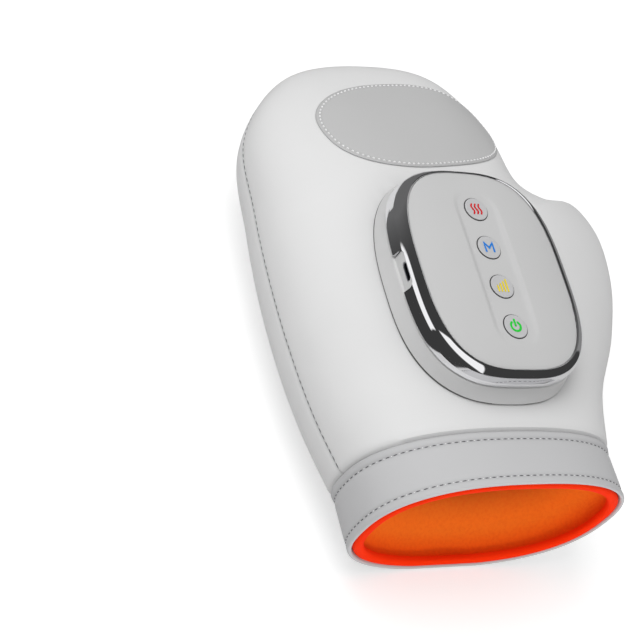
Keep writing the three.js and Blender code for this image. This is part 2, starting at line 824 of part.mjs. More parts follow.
function makeFilms() {
  const layer = layerSolid(filmOuter, filmInner, filmStartY - cutOverrun);
  const prism = planPrism(rectangleShape(filmHalfWidth, filmStartY, filmEndY), 0, 2 * seamHeight);
  const films = layer.intersect(prism);
  addPiece("heating_film_top", geometryOf(films.intersect(upperHalf)), "film");
  addPiece("heating_film_bottom", geometryOf(films.intersect(lowerHalf)), "film");
}

// Pod base, ring and plate

function recessBar(growth, startX, endX) {
  const bar = stadiumBar(recessHalfLength + growth, recessHalfHeight + growth, startX, endX - startX, recessY, portZ);
  return solidOf(bar);
}

// The same with straight legs down into the pedestal
function recessArch(growth, startX, endX) {
  const legHeight = portZ - baseTopZ + padSink;
  const legs = [endX - startX, 2 * (recessHalfLength + growth), legHeight];
  const middle = [(startX + endX) / 2, recessY, portZ - legHeight / 2];
  return recessBar(growth, startX, endX).add(solidOf(boxGeometry(legs, middle)));
}

function makePodBase() {
  const leather = mittenSolid(evenInset(-seatGap), cuffSeamY);
  const skirt = solidOf(
    loft([
      skirtRing(skirtFloorGrowth, skirtFloorZ),
      skirtRing(footGrowth, footZ),
      skirtRing(stepGrowth, baseTopZ - seatGap),
      skirtRing(stepGrowth - seatGap, baseTopZ),
    ]),
  );
  const tub = solidOf(
    podLoft([
      [tubGrowth - tubWall / 2, tubBottomZ],
      [tubGrowth, tubBottomZ + tubWall / 2],
      [tubGrowth, shelfZ],
    ]),
  );
  let base = skirt.subtract(leather).add(tub);
  base = base.subtract(podPrism(tubGrowth - tubWall, tubFloorZ, baseTopZ + cutOverrun));
  base = base.subtract(podPrism(shelfGrowth, shelfZ, baseTopZ + cutOverrun));
  const bossTopZ = boardBottomZ - seatGap;
  const bossHoleZ = boardTopZ - boardScrewLength;
  for (const [x, y] of bossPlaces) {
    base = base.add(solidOf(rodGeometry(bossRadius, bossHeight, [x, y, bossTopZ - bossHeight / 2])));
  }
  for (const [x, y] of boardScrewPlaces) {
    const depth = bossTopZ - bossHoleZ + cutOverrun;
    base = base.subtract(solidOf(rodGeometry(boardScrewRadius + seatGap, depth, [x, y, bossHoleZ + depth / 2])));
  }
  for (const [x, y] of clampScrewPlaces) {
    const holeTop = screwTopZ + seatGap;
    const height = holeTop - frameBottomZ;
    base = base.subtract(solidOf(rodGeometry(screwRadius + seatGap, height, [x, y, holeTop - height / 2])));
  }
  base = base.add(recessArch(-seatGap, recessFaceX, recessFaceX + padThickness));
  base = base.subtract(portCut());
  base = base.subtract(hoseHole(valveX, plateHalfLength, valveOutletZ));
  base = base.subtract(solidOf(rodGeometry(nozzleRadius + seatGap, 3 * tubWall, [valveX, -valveY, tubFloorZ])));
  for (const x of leadPlaces) {
    const hole = rodGeometry(leadRadius + seatGap, 4 * cutOverrun, [x, -plateHalfLength, leadEntryZ], "y");
    base = base.subtract(solidOf(hole));
  }
  addPiece("pod_base", geometryOf(base), "shell");
}

function portCut() {
  const length = 2 * cutOverrun;
  const x = recessFaceX + length / 2 - cutOverrun / 2;
  return solidOf(stadiumBar(portWidth / 2, portHeight / 2, x - length / 2, length, portY, portZ));
}

function hoseHole(x, y, z) {
  return solidOf(rodGeometry(hoseRadius + seatGap, 4 * cutOverrun, [x, y, z], "y"));
}

function makeClampFrame() {
  const outside = podPrism(frameOuterGrowth, frameBottomZ, baseTopZ);
  let frame = outside.subtract(podPrism(frameInnerGrowth, frameBottomZ - cutOverrun, baseTopZ + cutOverrun));
  frame = frame.intersect(mittenSolid(evenInset(leatherThickness + seatGap), foamStartY));
  for (const [x, y] of clampScrewPlaces) {
    frame = frame.subtract(solidOf(rodGeometry(screwRadius + seatGap, 4 * cutOverrun, [x, y, frameBottomZ])));
  }
  frame = frame.subtract(hoseHole(valveX, plateHalfLength, valveOutletZ));
  addPiece("clamp_frame", geometryOf(frame), "darkPlastic");
}

// A cross-head screw along Z with its head at the low end or the high end.
function screwGeometry(radius, headRadius, headHeight, length, headDown) {
  const outline = [
    [0, 0],
    [headRadius, 0],
    [headRadius, headHeight],
    [radius, headHeight],
    [radius, headHeight + length],
    [0, headHeight + length],
  ];
  const screw = turnedGeometry(outline, smallRoundSteps);
  return headDown ? screw : screw.rotateX(Math.PI);
}

function makeScrews() {
  const length = screwTopZ - frameBottomZ + seatGap;
  clampScrewPlaces.forEach(([x, y], i) => {
    const screw = screwGeometry(screwRadius, screwHeadRadius, screwHeadHeight, length, true);
    addPiece("clamp_screw_" + (i + 1), screw, "steel", [x, y, clampHeadZ]);
  });
  boardScrewPlaces.forEach(([x, y], i) => {
    const screw = screwGeometry(
      boardScrewRadius,
      boardScrewHeadRadius,
      boardScrewHeadHeight,
      boardScrewLength,
      false,
    );
    addPiece("board_screw_" + (i + 1), screw, "steel", [x, y, boardTopZ + seatGap + boardScrewHeadHeight]);
  });
}

function makeChromeRing() {
  const profile = [
    [seatGap, ringBottomZ],
    [ringWidth, ringBottomZ],
    [ringWidth - edgeBevel / 3, ringEdgeZ],
    [ringWidth - edgeBevel, ringEdgeZ + edgeBevel],
    [2 * seatGap + edgeBevel, plateEdgeZ + ringLipRise],
    [seatGap, plateEdgeZ],
  ];
  const rings = profile.map(([growth, z]) => podRing(growth, z));
  const ring = solidOf(trianglesGeometry(wallTriangles(rings, true)));
  const arch = recessArch(0, recessFaceX - 2 * cutOverrun, recessFaceX + 2 * cutOverrun);
  addPiece("chrome_ring", geometryOf(ring.subtract(arch)), "chrome");
}

function buttonY(index) {
  return ((buttonNames.length - 1) / 2 - index) * buttonPitch;
}

function makeFacePlate() {
  const dome = domeShares.map((share) => {
    const rise = plateCrown * (1 - Math.pow(share, crownPower));
    return podRing(0, plateEdgeZ + rise, share);
  });
  let plate = solidOf(loft([podRing(0, shelfZ + seatGap), podRing(0, plateEdgeZ - edgeBevel), ...dome]));
  plate = plate.subtract(podPrism(-plateWall, shelfZ - cutOverrun, plateInnerZ));
  const channel = new THREE.Shape();
  const channelEnd = buttonY(0);
  channel.absarc(0, channelEnd, channelHalfWidth, 0, Math.PI, false);
  channel.absarc(0, -channelEnd, channelHalfWidth, Math.PI, 2 * Math.PI, false);
  plate = plate.subtract(planPrism(channel, channelZ, channelZ + cutOverrun));
  buttonNames.forEach((_, i) => {
    const hole = rodGeometry(buttonRadius + seatGap, 2 * cutOverrun, [0, buttonY(i), channelZ]);
    plate = plate.subtract(solidOf(hole));
  });
  plate = plate.subtract(recessBar(seatGap, recessFaceX, recessFaceX + 2 * cutOverrun));
  addPiece("face_plate", geometryOf(plate), "plate");
}

// Board, switches, buttons and charging socket

function makeBoard() {
  let board = podPrism(boardGrowth, boardBottomZ, boardTopZ);
  for (const [x, y] of boardScrewPlaces) {
    board = board.subtract(solidOf(rodGeometry(boardScrewRadius + seatGap, 2 * cutOverrun, [x, y, boardTopZ])));
  }
  addPiece("main_board", geometryOf(board), "board");
}

function makeButtons() {
  const switchTop = boardTopZ + seatGap + switchHeight;
  const plungerLow = switchTop - plungerSink;
  const plungerTop = switchTop + plungerRise;
  const flangeTop = plateInnerZ - seatGap;
  const flangeLow = flangeTop - buttonFlangeThickness;
  const cap = [
    [0, plungerTop + seatGap],
    [buttonStemRadius, plungerTop + seatGap],
    [buttonStemRadius, flangeLow],
    [buttonFlangeRadius, flangeLow],
    [buttonFlangeRadius, flangeTop],
    [buttonRadius, flangeTop],
    [buttonRadius, channelZ + buttonProud - edgeBevel],
    [buttonRadius - edgeBevel, channelZ + buttonProud],
    [0, channelZ + buttonProud],
  ];
  const plunger = rodGeometry(plungerRadius, plungerTop - plungerLow, [0, 0, (plungerTop + plungerLow) / 2]);
  const bodyCentre = [0, 0, switchTop - switchHeight / 2];
  const well = plungerSink + buttonTravel + seatGap;
  const body = solidOf(boxGeometry([switchSide, switchSide, switchHeight], bodyCentre)).subtract(
    solidOf(rodGeometry(plungerRadius + seatGap, 2 * well, [0, 0, switchTop])),
  );
  buttonNames.forEach((name, i) => {
    const place = [0, buttonY(i), 0];
    addPiece("button_" + name, turnedGeometry(cap, roundSteps), "button", place);
    addPiece("switch_plunger_" + name, plunger.clone(), "rubber", place);
    addPiece("switch_body_" + name, geometryOf(body), "darkPlastic", place);
  });
}

function makeSocket() {
  const frontX = recessFaceX + seatGap;
  const [halfWidth, halfTall] = [portWidth / 2 - seatGap / 2, portHeight / 2 - seatGap / 2];
  const shell = solidOf(stadiumBar(halfWidth, halfTall, frontX, socketLength, portY, portZ));
  const hollow = solidOf(
    stadiumBar(
      halfWidth - socketWall,
      halfTall - socketWall,
      frontX - cutOverrun,
      socketLength - socketBack + cutOverrun,
      portY,
      portZ,
    ),
  );
  const tongueLength = socketLength - tongueSetback - socketBack / 2;
  const tongueX = frontX + tongueSetback + tongueLength / 2;
  const tongue = boxGeometry([tongueLength, tongueWidth, tongueThickness], [tongueX, portY, portZ]);
  addPiece("usb_socket", geometryOf(shell.subtract(hollow).add(solidOf(tongue))), "steel");
}

// Battery, pump and valves

const floorZ = tubFloorZ + seatGap;

function makeCell() {
  const shape = new THREE.Shape();
  const [halfX, halfY] = [cellWidth / 2 - cellCorner, cellLength / 2 - cellCorner];
  shape.absarc(halfX, halfY, cellCorner, 0, Math.PI / 2, false);
  shape.absarc(-halfX, halfY, cellCorner, Math.PI / 2, Math.PI, false);
  shape.absarc(-halfX, -halfY, cellCorner, Math.PI, (3 * Math.PI) / 2, false);
  shape.absarc(halfX, -halfY, cellCorner, (3 * Math.PI) / 2, 2 * Math.PI, false);
  const cell = new THREE.ExtrudeGeometry(shape, { depth: cellThickness, bevelEnabled: false, curveSegments: 4 });
  addPiece("battery_cell", cell, "cell", [cellX, 0, floorZ]);
}

const pumpZ = floorZ + pumpHeight / 2;
const endCapY = pumpBackY + canLength + seatGap;
const housingY = endCapY + endCapThickness + seatGap;
const diaphragmY = housingY + housingLength + seatGap;
const pumpHeadY = diaphragmY + diaphragmThickness + seatGap;
const pumpNozzleY = pumpHeadY + pumpHeadLength;

function pumpBlock(startY, length) {
  return solidOf(boxGeometry([pumpWidth, length, pumpHeight], [pumpX, startY + length / 2, pumpZ]));
}

function pumpRod(radius, startY, length, x = pumpX) {
  return solidOf(rodGeometry(radius, length, [x, startY + length / 2, pumpZ], "y"));
}

function makePump() {
  const bore = pumpHeight / 2 - canWall / 2;
  const bearingY = pumpBackY + canWall / 2;
  const can = pumpBlock(pumpBackY, canLength)
    .subtract(pumpRod(bore, pumpBackY + canWall, canLength))
    .subtract(pumpRod(shaftRadius + seatGap, bearingY, canWall));
  addPiece("motor_can", geometryOf(can), "steel");
  const shaftHole = pumpRod(shaftRadius + seatGap, endCapY - cutOverrun, 3 * cutOverrun);
  const cap = pumpBlock(endCapY, endCapThickness).subtract(shaftHole);
  addPiece("motor_end_cap", geometryOf(cap), "darkPlastic");
  const rotorY = pumpBackY + 2 * canWall;
  const chamberY = housingY + housingWall;
  const crankY = chamberY + housingWall;
  const shaftStart = bearingY + seatGap;
  const shaftEnd = crankY + crankThickness - seatGap;
  const rotor = pumpRod(rotorRadius, rotorY, rotorLength).add(
    pumpRod(shaftRadius, shaftStart, shaftEnd - shaftStart),
  );
  addPiece("motor_rotor", geometryOf(rotor), "brass");
  const disc = pumpRod(crankRadius, crankY, crankThickness);
  const pinY = crankY + crankThickness - seatGap;
  const pin = pumpRod(crankPinRadius, pinY, diaphragmY - 2 * seatGap - pinY, pumpX + crankThrow);
  const hub = pumpRod(shaftRadius + seatGap, crankY - cutOverrun, cutOverrun + crankThickness);
  const crank = disc.add(pin).subtract(hub);
  addPiece("pump_crank", geometryOf(crank), "brass");
  const chamber = pumpRod(chamberRadius, chamberY, housingLength);
  const housing = pumpBlock(housingY, housingLength).subtract(chamber).subtract(shaftHole);
  addPiece("pump_housing", geometryOf(housing), "darkPlastic");
  addPiece("pump_diaphragm", geometryOf(pumpBlock(diaphragmY, diaphragmThickness)), "rubber");
  const head = pumpBlock(pumpHeadY, pumpHeadLength).add(pumpRod(nozzleRadius, pumpNozzleY - seatGap, nozzleLength));
  addPiece("pump_head", geometryOf(head), "darkPlastic");
}

function makeValves() {
  valveNames.forEach((name, i) => {
    const side = i === 0 ? 1 : -1;
    const y = side * valveY;
    let body = solidOf(boxGeometry([valveSide, valveSide, valveHeight], [valveX, y, floorZ + valveHeight / 2]));
    const wellLow = floorZ + valveHeight - valvePlungerLength - valveTravel - seatGap;
    const well = valveHeight;
    body = body.subtract(
      solidOf(rodGeometry(valvePlungerRadius + seatGap, well, [valveX, y, wellLow + well / 2])),
    );
    const face = valveSide / 2;
    const linkY = y - side * face;
    body = body.add(solidOf(rodGeometry(nozzleRadius, 2 * nozzleReach, [valveX, linkY, valveLinkZ], "y")));
    if (side > 0) {
      const outlet = rodGeometry(nozzleRadius, 2 * nozzleReach, [valveX, y + face, valveOutletZ], "y");
      const inlet = rodGeometry(nozzleRadius, 2 * nozzleReach, [valveX + face, y, pumpZ], "x");
      body = body.add(solidOf(outlet)).add(solidOf(inlet));
    } else {
      const drop = tubWall + 2 * seatGap;
      body = body.add(solidOf(rodGeometry(nozzleRadius, drop, [valveX, y, floorZ + seatGap - drop / 2])));
    }
    addPiece("valve_body_" + name, geometryOf(body), "steel");
    const plunger = rodGeometry(valvePlungerRadius, valvePlungerLength, [
      valveX,
      y,
      wellLow + seatGap + valvePlungerLength / 2,
    ]);
    addPiece("valve_plunger_" + name, plunger, "brass");
  });
}

// Hoses and leads

const sideShares = [0, 0.35, 0.65, 0.88]; // where a side hose's points lie between the bag and the side

// Points from one bag's edge round the little finger's side to the other bag's edge, in the plane at y.
function sideRoute(y) {
  const reach = reachInside(new THREE.Vector2(0, y), across.clone().negate(), bagMiddle);
  const firstX = bagHalfWidth + seatGap;
  const bendX = firstX + hoseStraight;
  const places = sideShares.map((share) => -THREE.MathUtils.lerp(bendX, reach, share));
  const upper = places.map((x) => [x, y, heightAt(x, y, bagMiddle, true)]);
  const lower = places.map((x) => [x, y, heightAt(x, y, bagMiddle, false)]);
  const first = [-firstX, y, upper[0][2]];
  const last = [-firstX, y, lower[0][2]];
  return [first, ...upper, [-reach, y, seamHeight], ...lower.reverse(), last];
}

function makeHoses() {
  const pumpEnd = pumpNozzleY + nozzleLength;
  const inletX = valveX + valveSide / 2 + nozzleReach + seatGap;
  const pumpHose = [
    [pumpX, pumpEnd, pumpZ],
    [pumpX, pumpEnd + hoseStraight, pumpZ],
    [pumpX - hoseSwing, pumpEnd + hoseSwing, pumpZ],
    [(pumpX + inletX) / 2, pumpEnd + hoseSwing, pumpZ],
    [inletX + hoseSwing, valveY + hoseStraight, pumpZ],
    [inletX + hoseStraight, valveY, pumpZ],
    [inletX, valveY, pumpZ],
  ];
  addPiece("hose_pump", tubeGeometry(pumpHose, hoseRadius, hoseSides, hoseSteps), "hose");
  const linkEnd = valveY - valveSide / 2 - nozzleReach - seatGap;
  const link = [
    [valveX, linkEnd, valveLinkZ],
    [valveX, -linkEnd, valveLinkZ],
  ];
  addPiece("hose_valve_link", tubeGeometry(link, hoseRadius, hoseSides, 1), "hose");
  const outletY = valveY + valveSide / 2 + nozzleReach + seatGap;
  const bagTop = heightAt(valveX, fingerHoseY, bagOuter, true);
  const hoseInset = leatherThickness + 2 * seatGap + hoseRadius;
  const underLeather = (y) => Math.min(valveOutletZ, heightAt(valveX, y, hoseInset, true));
  const farY = fingerHoseY - hoseRadius / 2;
  const fingerHose = [
    [valveX, outletY, valveOutletZ],
    [valveX, fingerHoseY - 2 * hoseRadius, underLeather(fingerHoseY - 2 * hoseRadius)],
    [valveX, farY, underLeather(farY) - hoseRadius / 4],
    [valveX, fingerHoseY, underLeather(fingerHoseY) - hoseRadius],
    [valveX, fingerHoseY, bagTop + seatGap],
  ];
  addPiece("hose_fingers", tubeGeometry(fingerHose, hoseRadius, hoseSides, hoseSteps), "hose");
  const handHoseY = (bagStartY + bagSplitY) / 2;
  const fingersHoseY = (bagSplitY + bagEndY) / 2;
  addPiece("hose_hand_link", tubeGeometry(sideRoute(handHoseY), hoseRadius, hoseSides, hoseSteps), "hose");
  addPiece("hose_fingers_link", tubeGeometry(sideRoute(fingersHoseY), hoseRadius, hoseSides, hoseSteps), "hose");
}

function leadInTub(x) {
  const riseY = podCentreY - plateHalfLength - tubGrowth + tubWall + leadBend;
  return [
    [x, riseY - leadBend / 2, leadEntryZ],
    [x, riseY, leadEntryZ + leadBend],
    [x, riseY, boardBottomZ - seatGap],
  ];
}

function makeLeads() {
  const filmMiddle = (filmOuter + filmInner) / 2;
  const climbY = filmStartY - leadBend;
  const [topX, bottomX] = leadPlaces;
  const topZ = heightAt(topX, filmStartY, filmMiddle, true);
  const topLead = [
    [topX, filmStartY - seatGap, topZ],
    [topX, filmStartY - seatGap - leadStraight, topZ],
    [topX, climbY, topZ + leadBend],
    [topX, climbY, leadEntryZ - leadBend],
    [topX, climbY + leadBend, leadEntryZ],
    ...leadInTub(topX),
  ];
  addPiece("heater_lead_top", tubeGeometry(topLead, leadRadius, leadSides, leadSteps), "lead");
  const from = new THREE.Vector2(0, climbY);
  const side = across.clone().negate();
  const reach = reachInside(from, side, bagMiddle);
  const around = leadElevationShares.map((share) => bodyPoint(from, side, reach, share * quarterTurn, bagMiddle));
  const startX = -filmHalfWidth + leadBend;
  const bottomZ = heightAt(startX, filmStartY, filmMiddle, false);
  const bottomLead = [
    [startX, filmStartY - seatGap, bottomZ],
    [startX, filmStartY - seatGap - leadStraight, bottomZ],
    ...around,
    [bottomX, climbY, leadEntryZ - leadBend],
    [bottomX, climbY + leadBend, leadEntryZ],
    ...leadInTub(bottomX),
  ];
  addPiece("heater_lead_bottom", tubeGeometry(bottomLead, leadRadius, leadSides, longLeadSteps), "lead");
  const boardZ = boardBottomZ - seatGap;
  const shortLeads = [
    ["battery_lead", cellX - cellWidth / 4, -cellLength / 2 - seatGap, floorZ + cellThickness / 2],
    ["motor_lead", pumpX, pumpBackY - seatGap, pumpZ],
  ];
  for (const [name, x, y, z] of shortLeads) {
    const points = [
      [x, y, z],
      [x, y - leadStraight, z],
      [x, y - leadBend, z + leadBend],
      [x, y - leadBend, boardZ],
    ];
    addPiece(name, tubeGeometry(points, leadRadius, leadSides, leadSteps / 2), "lead");
  }
}

makeCovers();
makePatch();
makeCuff();
makeMouthRim();
makeLining();
makePadding();
makeAirBags();
makeFilms();
makePodBase();
makeClampFrame();
makeScrews();
makeChromeRing();
makeFacePlate();
makeBoard();
makeButtons();
makeSocket();
makeCell();
makePump();
makeValves();
makeHoses();
makeLeads();

export default massager;
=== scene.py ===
# Hand massager: a padded leather mitten with a control pod on the back of the hand.
# Metres, +Z up. +Y points to the fingertips, the wrist opening faces -Y and the thumb is at +X.
import json
import math

import bmesh
import bpy
import numpy as np
from mathutils import Matrix, Vector


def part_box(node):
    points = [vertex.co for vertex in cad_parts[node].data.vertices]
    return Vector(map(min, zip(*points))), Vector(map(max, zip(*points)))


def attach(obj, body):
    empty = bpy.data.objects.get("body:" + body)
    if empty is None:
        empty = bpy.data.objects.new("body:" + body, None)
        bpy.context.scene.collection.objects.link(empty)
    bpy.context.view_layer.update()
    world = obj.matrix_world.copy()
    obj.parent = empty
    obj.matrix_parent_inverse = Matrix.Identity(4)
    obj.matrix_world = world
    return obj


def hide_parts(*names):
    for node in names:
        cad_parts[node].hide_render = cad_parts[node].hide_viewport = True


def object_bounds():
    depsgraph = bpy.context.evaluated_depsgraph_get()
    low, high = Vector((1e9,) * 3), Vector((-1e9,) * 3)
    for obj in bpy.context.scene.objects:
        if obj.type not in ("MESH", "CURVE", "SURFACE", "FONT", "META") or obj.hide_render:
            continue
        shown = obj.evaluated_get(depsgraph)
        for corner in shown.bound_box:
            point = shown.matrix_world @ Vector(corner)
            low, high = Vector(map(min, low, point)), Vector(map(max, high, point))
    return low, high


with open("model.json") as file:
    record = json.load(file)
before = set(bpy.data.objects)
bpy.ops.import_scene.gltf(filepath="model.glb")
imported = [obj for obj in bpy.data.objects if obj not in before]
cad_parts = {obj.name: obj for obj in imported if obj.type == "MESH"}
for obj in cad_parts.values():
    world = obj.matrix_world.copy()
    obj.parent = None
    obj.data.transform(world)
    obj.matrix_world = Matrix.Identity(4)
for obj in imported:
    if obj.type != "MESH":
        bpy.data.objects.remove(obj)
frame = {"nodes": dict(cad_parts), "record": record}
cad_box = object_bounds()
ROOT = "massager"

# Clearances
SEAT_GAP = 0.0003
CUT_OVERRUN = 0.004
REACH_TOLERANCE = SEAT_GAP / 100
LEAST_LENGTH = SEAT_GAP / 1000
MERGE_DISTANCE = 0.000001

# Body: its outline in plan and its heights over and under the side seam
BODY_SPAN = 0.1888
BODY_LENGTH = 0.2238
CUFF_SEAM_Y = -0.073
MOUTH_Y = -0.0955
CUFF_HALF_WIDTH = 0.066
MOUTH_HALF_WIDTH = 0.0648
FAN_CENTRE_SHARE = 0.4155
FAN_Y = CUFF_SEAM_Y + FAN_CENTRE_SHARE * BODY_LENGTH
OUTLINE_SHARES = [
    (-0.3845, 0.1385),
    (-0.402, 0.2905),
    (-0.4057, 0.4513),
    (-0.396, 0.615),
    (-0.371, 0.79),
    (-0.221, 0.9486),
    (0, 1),
    (0.2076, 0.982),
    (0.3305, 0.847),
    (0.369, 0.691),
    (0.45, 0.652),
    (0.546, 0.649),
    (0.594, 0.575),
    (0.58, 0.438),
    (0.507, 0.2905),
    (0.402, 0.1475),
]
SEAM_HEIGHT = 0.0428
BACK_RISE = 0.0435
PALM_DROP = 0.0442
CUFF_RISE = 0.039
CUFF_DROP = 0.0401
MOUTH_RISE = 0.0421
MOUTH_DROP = 0.0436
SWELL_LENGTH = 0.070
SECTION_POWER = 2.45
TIP_TAPER_SHARE = 0.259
TIP_TAPER_START = 0.010
TIP_TAPER_END = 0.160
THUMB_TAPER_SHARE = 0.21
THUMB_TAPER_START = 0.045
THUMB_TAPER_END = 0.115
THUMB_TAPER_RAMP = 0.063
BACK_Z = SEAM_HEIGHT + BACK_RISE
TIP_Y = CUFF_SEAM_Y + BODY_LENGTH

# Layers
LEATHER = 0.002
FOAM = 0.0072
BAG = 0.009
FILM = 0.0008
LINING = 0.0016
FOAM_OUTER = LEATHER + SEAT_GAP
BAG_OUTER = FOAM_OUTER + FOAM + SEAT_GAP
FILM_OUTER = BAG_OUTER + BAG + SEAT_GAP
LINING_OUTER = FILM_OUTER + FILM + SEAT_GAP
FOLD_RISE = 0.0037
TUCK_Y = CUFF_SEAM_Y + FOLD_RISE
TUCK_RAMP = 0.0025
TUCK_INSET = LEATHER + SEAT_GAP
TUCK_LENGTH = 0.007
RIM_WIDTH = 0.005
RIM_DEPTH = 0.003

# Control pod: its outline is the face plate's, grown or shrunk
POD_CENTRE_Y = 0.0004
PLATE_HALF_WIDTH = 0.0368
PLATE_HALF_LENGTH = 0.0502
POD_POWER = 3
END_TRIM = 0.0021
PLATE_EDGE_RISE = 0.0134
PLATE_EDGE_Z = BACK_Z + PLATE_EDGE_RISE
PLATE_CROWN = 0.0032
CROWN_POWER = 3.4
PLATE_WALL = 0.002
PLATE_INNER_RISE = 0.0126
PLATE_INNER_Z = BACK_Z + PLATE_INNER_RISE
CHANNEL_RISE = 0.0151
CHANNEL_Z = BACK_Z + CHANNEL_RISE
CHANNEL_HALF_WIDTH = 0.0104
CHANNEL_SLOPE = 0.0026
RING_BOTTOM_RISE = 0.0036
RING_BOTTOM_Z = BACK_Z + RING_BOTTOM_RISE
RING_EDGE_RISE = 0.0102
RING_EDGE_Z = BACK_Z + RING_EDGE_RISE
RING_WIDTH = 0.0051
BASE_TOP_Z = RING_BOTTOM_Z - SEAT_GAP
STEP_GROWTH = 0.006
FOOT_GROWTH = 0.0103
FOOT_POWER = 2.5
FOOT_SIDE_TRIM = 0.0015
FOOT_DROP = 0.0035
FOOT_Z = BACK_Z - FOOT_DROP
SKIRT_FLOOR_DROP = 0.0143
SKIRT_FLOOR_Z = BACK_Z - SKIRT_FLOOR_DROP
SKIRT_FLOOR_GROWTH = 0.0128
TUB_GROWTH = -0.0023
TUB_WALL = 0.002
TUB_BOTTOM_DROP = 0.0148
TUB_BOTTOM_Z = BACK_Z - TUB_BOTTOM_DROP
SHELF_RISE = 0.0007
SHELF_Z = BACK_Z + SHELF_RISE
LEATHER_HOLE_GROWTH = -0.0013
PORT_Y = 0.0003
PORT_RISE = 0.00805
PORT_Z = BACK_Z + PORT_RISE
PORT_HALF_LENGTH = 0.0047
PORT_HALF_HEIGHT = 0.0018
RECESS_Y = 0.0013
RECESS_HALF_LENGTH = 0.0092
RECESS_HALF_HEIGHT = 0.0024
RECESS_DEPTH = 0.0005
RECESS_FACE_X = -(PLATE_HALF_WIDTH + RING_WIDTH - RECESS_DEPTH)
PAD_THICKNESS = 0.0017
PAD_SINK = 0.0012
BUTTON_NAMES = ["heat", "mode", "level", "power"]
BUTTON_PITCH = 0.020
BUTTON_RADIUS = 0.0058
BUTTON_PROUD = 0.0005
BUTTON_FLANGE_RADIUS = 0.007
BUTTON_FLANGE = 0.001
BUTTON_STEM_RADIUS = 0.0016

# Counts of facets
SECTION_ROWS = 64
FAN_ROWS = 128
ELEVATIONS = 30
SEAM_CROWDING = 1.35
POD_STEPS = 176
CURVE_STEPS = 22
BAR_END_STEPS = 16
ARCH_STEPS = 12
HOLE_STEPS = 64
CAP_STEPS = 72

# Outline and surface of the body


def centripetal(points, steps):
    """Points of a centripetal curve through the given ones, with steps to each span."""
    padded = [2 * points[0] - points[1], *points, 2 * points[-1] - points[-2]]
    found = []
    for a, b, c, d in zip(padded, padded[1:], padded[2:], padded[3:]):
        first, second, third = (np.linalg.norm(q - p) ** 0.5 for p, q in ((a, b), (b, c), (c, d)))
        start = (b - a) / first - (c - a) / (first + second) + (c - b) / second
        end = (c - b) / second - (d - b) / (second + third) + (d - c) / third
        t = np.linspace(0, 1, steps, endpoint=False)[:, None]
        rise = start * second * (t**3 - 2 * t**2 + t) + end * second * (t**3 - t**2)
        found.append(b * (2 * t**3 - 3 * t**2 + 1) + c * (3 * t**2 - 2 * t**3) + rise)
    return np.vstack([*found, points[-1][None]])


def body_outline():
    inner = [np.array([a * BODY_SPAN, CUFF_SEAM_Y + f * BODY_LENGTH]) for a, f in OUTLINE_SHARES]
    ends = [np.array([side * CUFF_HALF_WIDTH, CUFF_SEAM_Y]) for side in (-1, 1)]
    curve = centripetal([ends[0], *inner, ends[1]], CURVE_STEPS)
    mouth = [[side * MOUTH_HALF_WIDTH, y] for side in (-1, 1) for y in (MOUTH_Y - CUT_OVERRUN, MOUTH_Y)]
    return np.vstack([mouth[0], mouth[1], curve, mouth[3], mouth[2]])


OUTLINE = body_outline()
STARTS = OUTLINE[:-1]
ALONGS = OUTLINE[1:] - OUTLINE[:-1]


def smooth_step(low, high, value):
    t = np.clip((value - low) / (high - low), 0, 1)
    return t * t * (3 - 2 * t)


def cross(a, b):
    return a[..., 0] * b[..., 1] - a[..., 1] * b[..., 0]


def distance_to_outline(points):
    offsets = points[:, None] - STARTS
    shares = np.clip((offsets * ALONGS).sum(2) / (ALONGS**2).sum(1), 0, 1)
    return np.linalg.norm(offsets - ALONGS * shares[..., None], axis=2).min(1)


def reach_inside(origins, directions, inset):
    """How far each ray runs to the outline moved in by inset."""
    starts = STARTS - origins[:, None]
    turn = cross(directions[:, None], ALONGS)
    turn = np.where(turn == 0, np.inf, turn)
    reach = cross(starts, ALONGS) / turn
    share = cross(starts, directions[:, None]) / turn
    hits = (reach > 0) & (share >= 0) & (share <= 1)
    reach = np.where(hits, reach, np.inf).min(1)
    inset = np.broadcast_to(np.asarray(inset, float), reach.shape)
    outward = inset <= 0
    for _ in range(len(OUTLINE)):
        short = np.where(outward, 0, inset - distance_to_outline(origins + directions * reach[:, None]))
        if short.max() < REACH_TOLERANCE:
            break
        reach = reach - np.maximum(short, 0)
    return np.where(outward, reach - inset, reach)


def half_height(y, is_top):
    top, bottom = (BACK_RISE, CUFF_RISE, MOUTH_RISE), (PALM_DROP, CUFF_DROP, MOUTH_DROP)
    full, cuff, mouth = top if is_top else bottom
    forward = (np.minimum(y, CUFF_SEAM_Y) - MOUTH_Y) / (CUFF_SEAM_Y - MOUTH_Y)
    at_cuff = mouth + (cuff - mouth) * forward
    return at_cuff + (full - at_cuff) * smooth_step(CUFF_SEAM_Y, CUFF_SEAM_Y + SWELL_LENGTH, y)


def taper(x, y):
    thumb = smooth_step(THUMB_TAPER_START, THUMB_TAPER_END, x)
    thumb = thumb * smooth_step(CUFF_SEAM_Y, CUFF_SEAM_Y + THUMB_TAPER_RAMP, y)
    tip = smooth_step(TIP_TAPER_START, TIP_TAPER_END, y)
    return (1 - THUMB_TAPER_SHARE * thumb) * (1 - TIP_TAPER_SHARE * tip)


